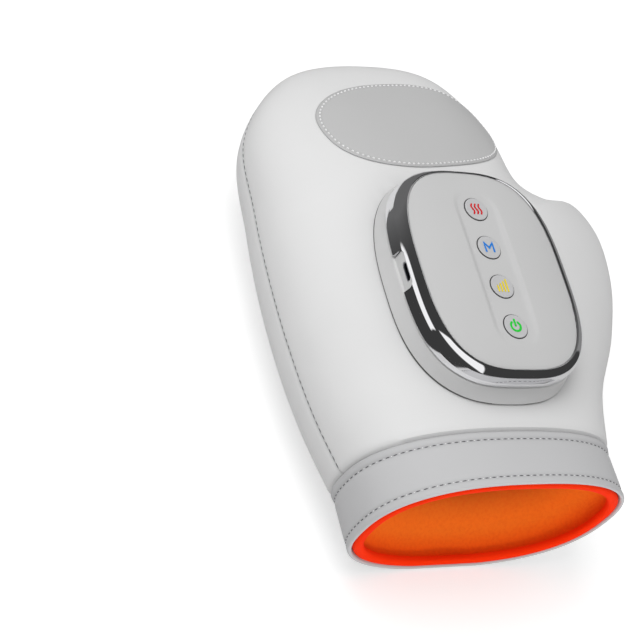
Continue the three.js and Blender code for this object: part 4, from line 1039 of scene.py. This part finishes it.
def make_lining():
    outer, inner = lining_grid(0, RIPPLE * RIPPLE_OUTER_SHARE), lining_grid(LINING, RIPPLE)
    lining = skin_solid("lining_bag", outer, inner, walled_columns=())
    finish_piece(lining, "orange_fabric", replaces=["lining"])


# Sewing

THREAD_RADIUS = 0.00023
THREAD_SIDES = 8
THREAD_SHARES = [(0, 0.35), (0.12, 0.8), (0.3, 1), (0.5, 1), (0.7, 1), (0.88, 0.8), (1, 0.35)]
THREAD_SINK_SHARE = 0.9
KNOT_RADIUS_SHARE = 0.9
KNOT_SINK_SHARE = 0.4
KNOT_RADIUS, KNOT_SINK = THREAD_RADIUS * KNOT_RADIUS_SHARE, THREAD_RADIUS * KNOT_SINK_SHARE
NORMAL_REACH = 0.001
SIDE_ROW_RISE = 0.0005
SIDE_ROW_LEAN = 0.35

# Each row of stitches: how far apart, how long, how thick, and for knots how far on and how deep
PATCH_STITCH = {"pitch": 0.0025, "length": 0.0015, "radius": 0.0004}
CUFF_STITCH = {"pitch": 0.0033, "length": 0.0021, "radius": THREAD_RADIUS}
CUFF_KNOT = {"pitch": 0.0033, "length": 0.0008, "radius": KNOT_RADIUS, "start": 0.0023, "sink": KNOT_SINK}
SIDE_STITCH = {"pitch": 0.0034, "length": 0.0026, "radius": 0.0002}
SIDE_KNOT = {"pitch": 0.0034, "length": 0.0008, "radius": 0.0002, "start": 0.0026, "sink": 0.0001}


def evenly(path, pitch):
    """Places along a path at even steps, with how far along each lies."""
    steps = np.linalg.norm(np.diff(path, axis=0), axis=1)
    along = np.concatenate([[0], np.cumsum(steps)])
    count = max(int(along[-1] / pitch), 1)
    return along, np.arange(count) * along[-1] / count


def at_length(path, along, places):
    return np.column_stack([np.interp(places, along, path[:, axis]) for axis in range(3)])


def sew(name, path, normals, material, slot, pitch, length, radius, start=0, sink=0):
    """A row of thread stitches lying on a path: each dips into the leather at its ends."""
    along, places = evenly(path, pitch)
    points, faces = [], []
    turns = np.linspace(0, 2 * math.pi, THREAD_SIDES, endpoint=False)
    shares = np.array([share for share, _ in THREAD_SHARES])
    for place in places + start:
        centres = at_length(path, along, place + shares * length)
        up = at_length(normals, along, [place + length / 2])[0]
        up = up / np.linalg.norm(up)
        ahead = centres[-1] - centres[0]
        ahead = ahead / max(np.linalg.norm(ahead), LEAST_LENGTH)
        side = np.cross(up, ahead)
        first = len(points)
        for (share, width_share), centre in zip(THREAD_SHARES, centres):
            dip = radius * (math.sin(math.pi * share) - THREAD_SINK_SHARE) - sink
            for turn in turns:
                around = side * math.cos(turn) + up * math.sin(turn)
                points.append(centre + up * dip + around * radius * width_share)
        faces += grid_faces(len(THREAD_SHARES), THREAD_SIDES, first, closed_columns=True)
        last = len(points) - THREAD_SIDES
        faces += [tuple(range(first, first + THREAD_SIDES))[::-1], tuple(range(last, len(points)))]
    finish_piece(new_object(name, points, faces), slot, material=material)


def back_normals(plan):
    """Directions off the back of the hand over a plan."""
    x, y = plan.T
    slopes = []
    for aside, ahead in ((NORMAL_REACH, 0), (0, NORMAL_REACH)):
        rise = height_at(x + aside, y + ahead, 0) - height_at(x - aside, y - ahead, 0)
        slopes.append(-rise / (2 * NORMAL_REACH))
    return np.column_stack([*slopes, np.ones_like(x)])


def make_patch_stitches():
    plan = patch_outline(-STITCH_INSET, 4 * PATCH_STEPS)
    plan = np.vstack([plan, plan[:1]])
    path = lay_on_back(plan, SEAT_GAP + PATCH_THICKNESS)
    sew("patch_stitches", path, back_normals(plan), "white_thread", "patch_leather", **PATCH_STITCH)


def make_cuff_stitches():
    for row, y in (("upper", UPPER_STITCH_Y), ("lower", LOWER_STITCH_Y)):
        inset = cuff_dip(y)
        path, outside = (band_rings([(value, y)])[0] for value in (inset, inset - NORMAL_REACH))
        path, outside = (np.vstack([ring, ring[:1]]) for ring in (path, outside))
        normals = outside - path
        sew("cuff_stitches_" + row, path, normals, "dark_thread", "cuff_leather", **CUFF_STITCH)
        sew("cuff_stitch_knots_" + row, path, normals, "white_thread", "cuff_leather", **CUFF_KNOT)


def make_side_stitches():
    origins, directions = stations(TUCK_Y + TUCK_RAMP)
    lift = (SIDE_ROW_RISE / BACK_RISE) ** (SECTION_POWER / 2)
    path = body_points(origins, directions, 0, np.array([math.asin(lift)]))[:, 0]
    path[:, :2] -= directions * SEAM_PINCH * bell(SIDE_ROW_RISE, SEAM_PINCH_WIDTH)
    ahead = np.gradient(path, axis=0)
    normals = np.column_stack([ahead[:, 1], -ahead[:, 0], np.full(len(ahead), 0)])
    normals /= np.linalg.norm(normals, axis=1)[:, None]
    normals[:, 2] = SIDE_ROW_LEAN
    sew("side_stitches", path, normals, "dark_thread", "cover_leather", **SIDE_STITCH)
    sew("side_stitch_knots", path, normals, "white_thread", "cover_leather", **SIDE_KNOT)


# Pedestal of the control pod

GROOVE_HEIGHT = 0.0011
GROOVE_DEPTH = 0.0006
STEP_FILLET = 0.0008
STEP_FILLET_STEPS = 6
UPRIGHT_LEAN = 0.6


def body_solid(inset):
    """The whole mitten as one solid, from the cuff seam to the fingertips."""
    origins, directions = stations(CUFF_SEAM_Y)
    grid = body_points(origins, directions, inset, both_halves())
    rows, columns = grid.shape[:2]
    last = (rows - 1) * columns
    mouth = [(j, j + 1, last + j + 1, last + j) for j in range(columns - 1)]
    return tidy_mesh(new_object("body", grid.reshape(-1, 3), grid_faces(rows, columns) + mouth))


def recess_arch(growth, ends):
    """The recess round the port, with straight legs down into the pedestal."""
    half_length, half_height = RECESS_HALF_LENGTH + growth, RECESS_HALF_HEIGHT + growth
    turns = np.linspace(0, math.pi / 2, ARCH_STEPS)
    straight = half_length - half_height
    bend = np.column_stack([straight + half_height * np.cos(turns), half_height * np.sin(turns)])
    side = np.vstack([[half_length, BASE_TOP_Z - PAD_SINK - PORT_Z], bend])
    return prism_along_x(np.vstack([side, (side * [-1, 1])[::-1]]), ends, RECESS_Y, PORT_Z)


def make_skirt(name, growth, top_z):
    """The pedestal's flared wall, with a rounded upper edge."""
    corner = rounded_edge(STEP_GROWTH + growth, top_z, STEP_FILLET, STEP_FILLET_STEPS)
    floor, foot = (SKIRT_FLOOR_GROWTH + growth, SKIRT_FLOOR_Z), (FOOT_GROWTH + growth, FOOT_Z)
    return loft(name, [skirt_ring(wide, z) for wide, z in (floor, foot, *corner)])


def in_shaded_foot_groove(centres, lean):
    """Picks the faces of the shadow groove just over the leather, for painted shade."""
    over = centres[:, 2] - height_at(centres[:, 0], centres[:, 1], 0)
    return (over < GROOVE_HEIGHT) & (over > 0) & (lean < UPRIGHT_LEAN)


def make_pod_base():
    base = make_skirt("pod_base_shell", 0, BASE_TOP_Z)
    foot = make_skirt("foot", -GROOVE_DEPTH, BASE_TOP_Z - GROOVE_DEPTH)
    half_wall = TUB_WALL / 2
    tub_foot = pod_ring(TUB_GROWTH - half_wall, TUB_BOTTOM_Z)
    tub = loft("tub", [tub_foot, *(pod_ring(TUB_GROWTH, z) for z in (TUB_BOTTOM_Z + half_wall, SHELF_Z))])
    over = BASE_TOP_Z + CUT_OVERRUN
    room = pod_prism(TUB_GROWTH - TUB_WALL, TUB_BOTTOM_Z + TUB_WALL, over)
    shelf = pod_prism(SEAT_GAP, SHELF_Z, over)
    pad = recess_arch(-SEAT_GAP, (RECESS_FACE_X, RECESS_FACE_X + PAD_THICKNESS))
    ends = (RECESS_FACE_X - CUT_OVERRUN, RECESS_FACE_X + CUT_OVERRUN)
    port = prism_along_x(round_ended(PORT_HALF_LENGTH, PORT_HALF_HEIGHT), ends, PORT_Y, PORT_Z)
    combine(base, "DIFFERENCE", body_solid(-GROOVE_HEIGHT))
    combine(foot, "DIFFERENCE", body_solid(-SEAT_GAP))
    combine(base, "UNION", foot, tub)
    combine(base, "DIFFERENCE", room, shelf)
    combine(base, "UNION", pad)
    combine(base, "DIFFERENCE", port)
    mark_gap_shade(base, in_shaded_foot_groove)
    finish_piece(base, "shell_plastic", replaces=["pod_base"])


# Chrome ring

BEVEL_ROWS = 14
BEVEL_TURN = math.radians(15)
SIDE_ROLL = 0.0052
END_ROLL = 0.0016
SIDE_LEAN = 0.0008
WALL_ROUND = 0.0003
WALL_GROWTH = 0.0058
WALL_LOW_RISE = 0.0042
WALL_LOW_Z = BACK_Z + WALL_LOW_RISE
WALL_HIGH_RISE = 0.0070
WALL_HIGH_Z = BACK_Z + WALL_HIGH_RISE
NECK_GROWTH = 0.0049
RING_LIP = 0.0009
NECK_STEPS = 5
SHOULDER_STEPS = 4
ROLL_STEPS = 16
END_SIDENESS_SHARE = 0.5
FULL_SIDENESS_SHARE = 0.95


def rolled(before, corner, after, radius, steps):
    """Points that round a corner of a profile."""
    before, corner, after = (np.array(point, float) for point in (before, corner, after))
    back, ahead = before - corner, after - corner
    back, ahead = back / np.linalg.norm(back), ahead / np.linalg.norm(ahead)
    half = math.acos(np.clip(back @ ahead, -1, 1)) / 2
    middle = (back + ahead) / np.linalg.norm(back + ahead)
    centre = corner + middle * radius / math.sin(half)
    start, end = (corner + way * radius / math.tan(half) - centre for way in (back, ahead))
    sweep = math.pi - 2 * half
    shares = np.linspace(0, 1, steps)
    arcs = [start * math.sin((1 - s) * sweep) + end * math.sin(s * sweep) for s in shares]
    return [tuple(centre + arc / math.sin(sweep)) for arc in arcs]


def ring_profile(lean, roll):
    """A neck, a wall in two slopes, a rolled edge, a slightly bulging bevel and a lip."""
    neck, under = (NECK_GROWTH, WALL_LOW_Z), (WALL_GROWTH + lean, WALL_LOW_Z)
    shoulder, edge = (WALL_GROWTH, WALL_HIGH_Z), (RING_WIDTH, RING_EDGE_Z)
    high = (RING_LIP, PLATE_EDGE_Z + SEAT_GAP)
    across = np.array(high) - edge
    outward = np.array([across[1], -across[0]])
    ahead = across * math.cos(BEVEL_TURN) + outward * math.sin(BEVEL_TURN)
    wall = [
        *rolled(neck, under, shoulder, WALL_ROUND, NECK_STEPS),
        *rolled(under, shoulder, edge, WALL_ROUND, SHOULDER_STEPS),
        *rolled(shoulder, edge, edge + ahead, roll, ROLL_STEPS),
    ]
    start, end = np.array(wall[-1]), np.array(high)
    middle = start + ahead * np.linalg.norm(end - start) / np.linalg.norm(ahead) / 2
    shares = np.linspace(0, 1, BEVEL_ROWS)[1:]
    bevel = [tuple(start * (1 - s) ** 2 + middle * 2 * s * (1 - s) + end * s * s) for s in shares]
    lip = [(2 * SEAT_GAP, PLATE_EDGE_Z + SEAT_GAP / 2), (SEAT_GAP, PLATE_EDGE_Z - SEAT_GAP / 2)]
    return [(SEAT_GAP, RING_BOTTOM_Z), (NECK_GROWTH, RING_BOTTOM_Z), neck, *wall, *bevel, *lip]


def make_ring():
    """Plated bezel: its wall leans and its edge is rounder at the sides than at the ends."""
    angles = np.linspace(0, 2 * math.pi, POD_STEPS, endpoint=False)
    turned_aside = np.abs(np.cos(angles))[:, None]
    sideness = smooth_step(END_SIDENESS_SHARE, FULL_SIDENESS_SHARE, turned_aside)
    profiles = zip(ring_profile(SIDE_LEAN, SIDE_ROLL), ring_profile(0, END_ROLL))
    rings = [pod_ring(*side) * sideness + pod_ring(*end) * (1 - sideness) for side, end in profiles]
    ring = band("chrome_ring_bezel", rings)
    ends = (RECESS_FACE_X - 2 * CUT_OVERRUN, RECESS_FACE_X + 2 * CUT_OVERRUN)
    combine(ring, "DIFFERENCE", recess_arch(0, ends))
    finish_piece(ring, "chrome", replaces=["chrome_ring"])


# Face plate and buttons

PLATE_EDGE_DROP = 0.00035
PLATE_EDGE_ROUND = 0.0004
PLATE_SPACING = 0.00085
PLATE_SPARE_ROWS = 4
CAP_FILLET = 0.0004
CAP_FILLET_STEPS = 5
CAP_DISH = 0.00012
CAP_DISH_SHARES = (0.8, 0.55, 0.3, 0.05)
BUTTON_YS = [((len(BUTTON_NAMES) - 1) / 2 - i) * BUTTON_PITCH for i in range(len(BUTTON_NAMES))]


def plate_height(x, y):
    powers = np.abs(x / PLATE_HALF_WIDTH) ** POD_POWER
    powers = powers + np.abs((y - POD_CENTRE_Y) / PLATE_HALF_LENGTH) ** POD_POWER
    share = np.clip(powers ** (1 / POD_POWER), 0, 1)
    dome = PLATE_EDGE_Z + PLATE_CROWN * (1 - share**CROWN_POWER)
    edge = PLATE_EDGE_DROP * np.exp(-(1 - share) * PLATE_HALF_WIDTH / PLATE_EDGE_ROUND)
    away = np.hypot(x, np.maximum(np.abs(y) - BUTTON_YS[0], 0))
    half_slope = CHANNEL_SLOPE / 2
    rising = smooth_step(CHANNEL_HALF_WIDTH - half_slope, CHANNEL_HALF_WIDTH + half_slope, away)
    floor = np.minimum(dome, CHANNEL_Z)
    return floor + (dome - floor) * rising - edge


# Painted shade on the upright faces of the gap round each button
def mark_button_gap_shade(made, radius):
    def in_shaded_gap(centres, lean):
        away = np.min([np.hypot(centres[:, 0], centres[:, 1] - y) for y in BUTTON_YS], axis=0)
        return (np.abs(lean) < UPRIGHT_LEAN) & (np.abs(away - radius) < SEAT_GAP)

    mark_gap_shade(made, in_shaded_gap)


def plate_block():
    """A block with the plate's upper surface, wider than the plate."""
    halves = (PLATE_HALF_WIDTH, PLATE_HALF_LENGTH)
    counts = [int(2 * half / PLATE_SPACING) + PLATE_SPARE_ROWS for half in halves]
    xs, ys = ((np.arange(count) - (count - 1) / 2) * PLATE_SPACING for count in counts)
    x, y = np.meshgrid(xs, ys + POD_CENTRE_Y, indexing="ij")
    upper = np.dstack([x, y, plate_height(x, y)]).reshape(-1, 3)
    lower = np.dstack([x, y, np.full_like(x, SHELF_Z + SEAT_GAP)]).reshape(-1, 3)
    columns, rows = counts
    below = len(upper)
    faces = [face[::-1] for face in grid_faces(columns, rows)] + grid_faces(columns, rows, below)
    edges = [range(start, start + rows) for start in (0, below - rows)]
    edges += [range(start, below, rows) for start in (0, rows - 1)]
    return tidy_mesh(new_object("face_plate_shell", np.vstack([upper, lower]), faces + walls(edges, below)))


def make_plate():
    plate = plate_block()
    low, top, hole_radius = SHELF_Z - CUT_OVERRUN, CHANNEL_Z + CUT_OVERRUN, BUTTON_RADIUS + SEAT_GAP
    room = pod_prism(-PLATE_WALL, low, PLATE_INNER_Z)
    hole = [(hole_radius, PLATE_INNER_Z - CUT_OVERRUN), (hole_radius, top)]
    holes = [turned("hole", hole, y, HOLE_STEPS) for y in BUTTON_YS]
    slot = round_ended(RECESS_HALF_LENGTH + SEAT_GAP, RECESS_HALF_HEIGHT + SEAT_GAP)
    recess = prism_along_x(slot, (RECESS_FACE_X, RECESS_FACE_X + 2 * CUT_OVERRUN), RECESS_Y, PORT_Z)
    combine(plate, "INTERSECT", pod_prism(0, low, top))
    combine(plate, "DIFFERENCE", room, *holes, recess)
    mark_button_gap_shade(plate, hole_radius)
    finish_piece(plate, "plate_plastic", replaces=["face_plate"])


def make_buttons():
    top = CHANNEL_Z + BUTTON_PROUD
    flange_top = PLATE_INNER_Z - SEAT_GAP
    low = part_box("button_heat")[0].z
    profile = [
        (BUTTON_STEM_RADIUS, low),
        (BUTTON_STEM_RADIUS, flange_top - BUTTON_FLANGE),
        (BUTTON_FLANGE_RADIUS, flange_top - BUTTON_FLANGE),
        (BUTTON_FLANGE_RADIUS, flange_top),
        (BUTTON_RADIUS, flange_top),
        *rounded_edge(BUTTON_RADIUS, top, CAP_FILLET, CAP_FILLET_STEPS),
        *[(BUTTON_RADIUS * share, top - CAP_DISH * (1 - share)) for share in CAP_DISH_SHARES],
    ]
    for name, y in zip(BUTTON_NAMES, BUTTON_YS):
        cap = turned(name + "_button_cap", profile, y, CAP_STEPS)
        mark_button_gap_shade(cap, BUTTON_RADIUS)
        finish_piece(cap, "button_plastic", name + "_button", ["button_" + name])
        lines, width = ICONS[name]
        icon = join_strokes(name + "_icon", lines, width, (0, y, top))
        finish_piece(icon, "button_plastic", name + "_button", material=name + "_ink")


# Icons, as strokes on the button tops

INK_LIFT = SEAT_GAP / 30
INK_DEPTH = 0.00006
ICON_HALF_HEIGHT = 0.0025
WAVE_PITCH = 0.0019
WAVE_SWING = 0.0005
WAVE_STEPS = 25
M_HALF_WIDTH = 0.0021
M_HALF_HEIGHT = 0.0022
M_DIP = 0.0004
BAR_HEIGHTS = (0.0026, 0.0036, 0.0047, 0.0058)
BAR_PITCH = 0.0016
POWER_RADIUS = 0.0024
POWER_GAP = math.radians(38)
POWER_STEPS = 40
POWER_BAR_LOW = 0.0003
POWER_BAR_HIGH = 0.0032
WAVE_STROKE = 0.0008
M_STROKE = 0.00095
BAR_STROKE = 0.0008
POWER_STROKE = 0.0010
ROUND_END_STEPS = 9
LEAST_TURN_SHARE = 0.5


def heat_lines():
    shares = np.linspace(-1, 1, WAVE_STEPS)
    across = WAVE_SWING * np.sin(shares * math.pi)
    return [np.column_stack([x - across, shares * ICON_HALF_HEIGHT]) for x in (-WAVE_PITCH, 0, WAVE_PITCH)]


def mode_lines():
    left = [(-M_HALF_WIDTH, -M_HALF_HEIGHT), (-M_HALF_WIDTH, M_HALF_HEIGHT)]
    right = [(M_HALF_WIDTH, M_HALF_HEIGHT), (M_HALF_WIDTH, -M_HALF_HEIGHT)]
    return [np.array([*left, (0, -M_DIP), *right])]


def level_lines():
    lines = []
    for i, height in enumerate(BAR_HEIGHTS):
        x = (i - (len(BAR_HEIGHTS) - 1) / 2) * BAR_PITCH
        lines.append(np.array([(x, -ICON_HALF_HEIGHT), (x, height - ICON_HALF_HEIGHT)]))
    return lines


def power_lines():
    turns = np.linspace(math.pi / 2 + POWER_GAP, 5 * math.pi / 2 - POWER_GAP, POWER_STEPS)
    arc = POWER_RADIUS * np.column_stack([np.cos(turns), np.sin(turns)])
    return [arc, np.array([(0, POWER_BAR_LOW), (0, POWER_BAR_HIGH)])]


ICONS = {
    "heat": (heat_lines(), WAVE_STROKE),
    "mode": (mode_lines(), M_STROKE),
    "level": (level_lines(), BAR_STROKE),
    "power": (power_lines(), POWER_STROKE),
}


def unit_rows(rows):
    return rows / np.linalg.norm(rows, axis=1)[:, None]


def ribbon(line, width):
    """Outline of a line drawn with a pen: corners are mitred and ends are round."""
    steps = unit_rows(np.diff(line, axis=0))
    ahead = unit_rows(np.vstack([steps[:1], steps[:-1] + steps[1:], steps[-1:]]))
    turn_share = np.clip((np.vstack([steps[:1], steps]) * ahead).sum(1), LEAST_TURN_SHARE, 1)
    side = np.column_stack([-ahead[:, 1], ahead[:, 0]])
    reach = width / 2 / turn_share[:, None]
    turns = np.linspace(0, math.pi, ROUND_END_STEPS)[1:-1]
    start, end = (
        [line[i] + way * width / 2 * (side[i] * math.cos(t) + ahead[i] * math.sin(t)) for t in turns]
        for i, way in ((0, -1), (-1, 1))
    )
    return np.vstack([line + side * reach, end, (line - side * reach)[::-1], start])


def join_strokes(name, lines, width, place):
    """One thin printed piece from lines: each is a ribbon."""
    points, faces = [], []
    for line in lines:
        ring = ribbon(line, width)
        count, base = len(ring), len(points)
        for z in (INK_LIFT, INK_DEPTH):
            points += [(place[0] + x, place[1] + y, place[2] + z) for x, y in ring]
        faces += [tuple(range(base + count, base + 2 * count)), tuple(range(base, base + count))[::-1]]
        faces += grid_faces(2, count, base, closed_columns=True)
    return tidy_mesh(new_object(name, points, faces))


# Camera, light and floor

CAMERA_PLACE = (-0.4505, -0.3582, 0.6287)
CAMERA_RIGHT = (0.8678, -0.2394, 0.4354)
CAMERA_UP = (-0.0237, 0.8553, 0.5175)
CAMERA_LENS = 101.25
CAMERA_CLIP = 0.01
SENSOR_WIDTH = 36
LAMP_TARGET = (0.0, 0.03, 0.05)
MOUTH_TARGET = (0.0, 0.0, 0.045)
LAMPS = [
    ("key_lamp", (-0.47, 0.22, 1.22), LAMP_TARGET, (0.8, 0.8), 9.3),
    ("fill_lamp", (0.15, -1.2, 0.55), LAMP_TARGET, (0.9, 0.6), 0.5),
    ("mouth_lamp", (0.02, -0.38, 0.03), MOUTH_TARGET, (0.12, 0.05), 0.32),
]
WORLD_STRENGTH = 0.5
# What polished metal mirrors: dim walls, a lighter one at +Y, and cards, each bounded by planes
WALL_DIM = 0.045
WALL_LIGHT = 0.14
WALL_LIGHT_START = 0.45
WALL_LIGHT_END = 0.75
CARD_EDGE = 0.04
LEFT_CARD = [((-0.559, -0.829, 0), 0), ((0.105, 0.995, 0), -0.12), ((0, 0, 1), -0.18), ((0, 0, -1), -0.46)]
STRIP_SIDES = [((0.783, 0.241, 0.573), -0.21), ((-0.783, -0.241, -0.573), -0.34)]
STRIP_CARD = [*STRIP_SIDES, ((-1, 0, 0), -0.1), ((0, -1, 0), -0.03)]
CORNER_CARD = [((1, 0, 0), 0.8), ((0, 1, 0), 0.1)]
STUDIO_CARDS = [(1.0, LEFT_CARD), (1.0, STRIP_CARD), (0.24, CORNER_CARD)]
FLOOR_HALF_WIDTH = 3.0
FLOOR_GLOW = 0.5
FAR_FLOOR_GLOW = 0.75
FAR_FLOOR = 1.2
# Metal mirrors the floor only round the object, and the studio past it
MIRRORED_CENTRE = (0.1, -0.1, 0)
MIRRORED_RADIUS = 0.3
MIRRORED_EDGE = 0.02


def make_camera():
    data = bpy.data.cameras.new("camera")
    data.sensor_width = SENSOR_WIDTH
    data.lens = CAMERA_LENS
    data.clip_start = CAMERA_CLIP
    camera = link_object("camera", data)
    right = Vector(CAMERA_RIGHT)
    back = right.cross(Vector(CAMERA_UP)).normalized()
    up = back.cross(right).normalized()
    turn = Matrix((right.normalized(), up, back)).transposed()
    camera.matrix_world = Matrix.Translation(CAMERA_PLACE) @ turn.to_4x4()
    bpy.context.scene.camera = camera


def add_lamp(name, place, target, size, power):
    data = bpy.data.lights.new(name, "AREA")
    data.shape = "RECTANGLE"
    data.size, data.size_y = size
    data.energy = power
    lamp = link_object(name, data)
    lamp.location = place
    lamp.rotation_euler = (Vector(target) - Vector(place)).to_track_quat("-Z", "Y").to_euler()
    lamp.visible_glossy = False
    lamp.visible_camera = False


def make_world():
    world = bpy.data.worlds.new("studio")
    bpy.context.scene.world = world
    world.use_nodes = True
    world.node_tree.nodes.clear()
    nodes = Nodes(world.node_tree)
    direction = nodes.add("TexCoord")
    height = nodes.add("SeparateXYZ", {"Vector": direction}, output=1)
    mirrored = nodes.spread(height, WALL_DIM, WALL_LIGHT, WALL_LIGHT_START, WALL_LIGHT_END)
    for light, planes in STUDIO_CARDS:
        inside = 1.0
        for normal, limit in planes:
            dot = nodes.add("VectorMath", {0: direction, 1: normal}, 1, operation="DOT_PRODUCT")
            side = nodes.spread(dot, 0, 1, limit, limit + CARD_EDGE)
            inside = nodes.add("Math", {0: inside, 1: side}, operation="MULTIPLY")
        extra = nodes.add("Math", {0: inside, 1: light}, operation="MULTIPLY")
        mirrored = nodes.add("Math", {0: mirrored, 1: extra}, operation="MAXIMUM")
    walls = nodes.mix(nodes.seen_by("Is Glossy Ray"), nodes.light(WORLD_STRENGTH), nodes.light(mirrored))
    shown = nodes.mix(nodes.seen_by("Is Camera Ray"), walls, nodes.light(1.0))
    output = world.node_tree.nodes.new("ShaderNodeOutputWorld")
    nodes.feed(output.inputs["Surface"], shown)


def make_floor():
    z = cad_box[0][2] - SEAT_GAP
    corners = [(-1, -1), (1, -1), (1, 1), (-1, 1)]
    points = [(a * FLOOR_HALF_WIDTH, b * FLOOR_HALF_WIDTH, z) for a, b in corners]
    floor = new_object("floor", points, [(0, 1, 2, 3)])
    made = Surface("floor_paper", 0.9)
    made.set(Base_Color="d8d8d8")
    away = made.add("VectorMath", {0: made.place, 1: MIRRORED_CENTRE}, 1, operation="DISTANCE")
    strength = made.spread(away, FLOOR_GLOW, FAR_FLOOR_GLOW, MIRRORED_RADIUS, FAR_FLOOR)
    glow = made.add("Emission", {"Strength": strength})
    paper = made.shader.outputs[0]
    shown = made.add("AddShader", {0: paper, 1: glow})
    far = made.spread(away, 0, 1, MIRRORED_RADIUS, MIRRORED_RADIUS + MIRRORED_EDGE)
    mirrored = made.mix(far, paper, made.add("BsdfTransparent"))
    unseen = made.mix(made.seen_by("Is Glossy Ray"), paper, mirrored)
    seen = made.mix(made.seen_by("Is Camera Ray"), unseen, shown)
    made.feed(made.tree.nodes["Material Output"].inputs["Surface"], seen)
    floor.data.materials.append(made.material)


make_camera()
make_world()
make_floor()
for lamp in LAMPS:
    add_lamp(*lamp)
bpy.context.scene.view_settings.view_transform = "Standard"

dress_cad_nodes()
make_cover("cover_top", 1)
make_cover("cover_bottom", -1)
make_patch()
make_patch_stitches()
make_side_stitches()
make_cuff()
make_cuff_stitches()
make_mouth_rim()
make_lining()
make_pod_base()
make_ring()
make_plate()
make_buttons()
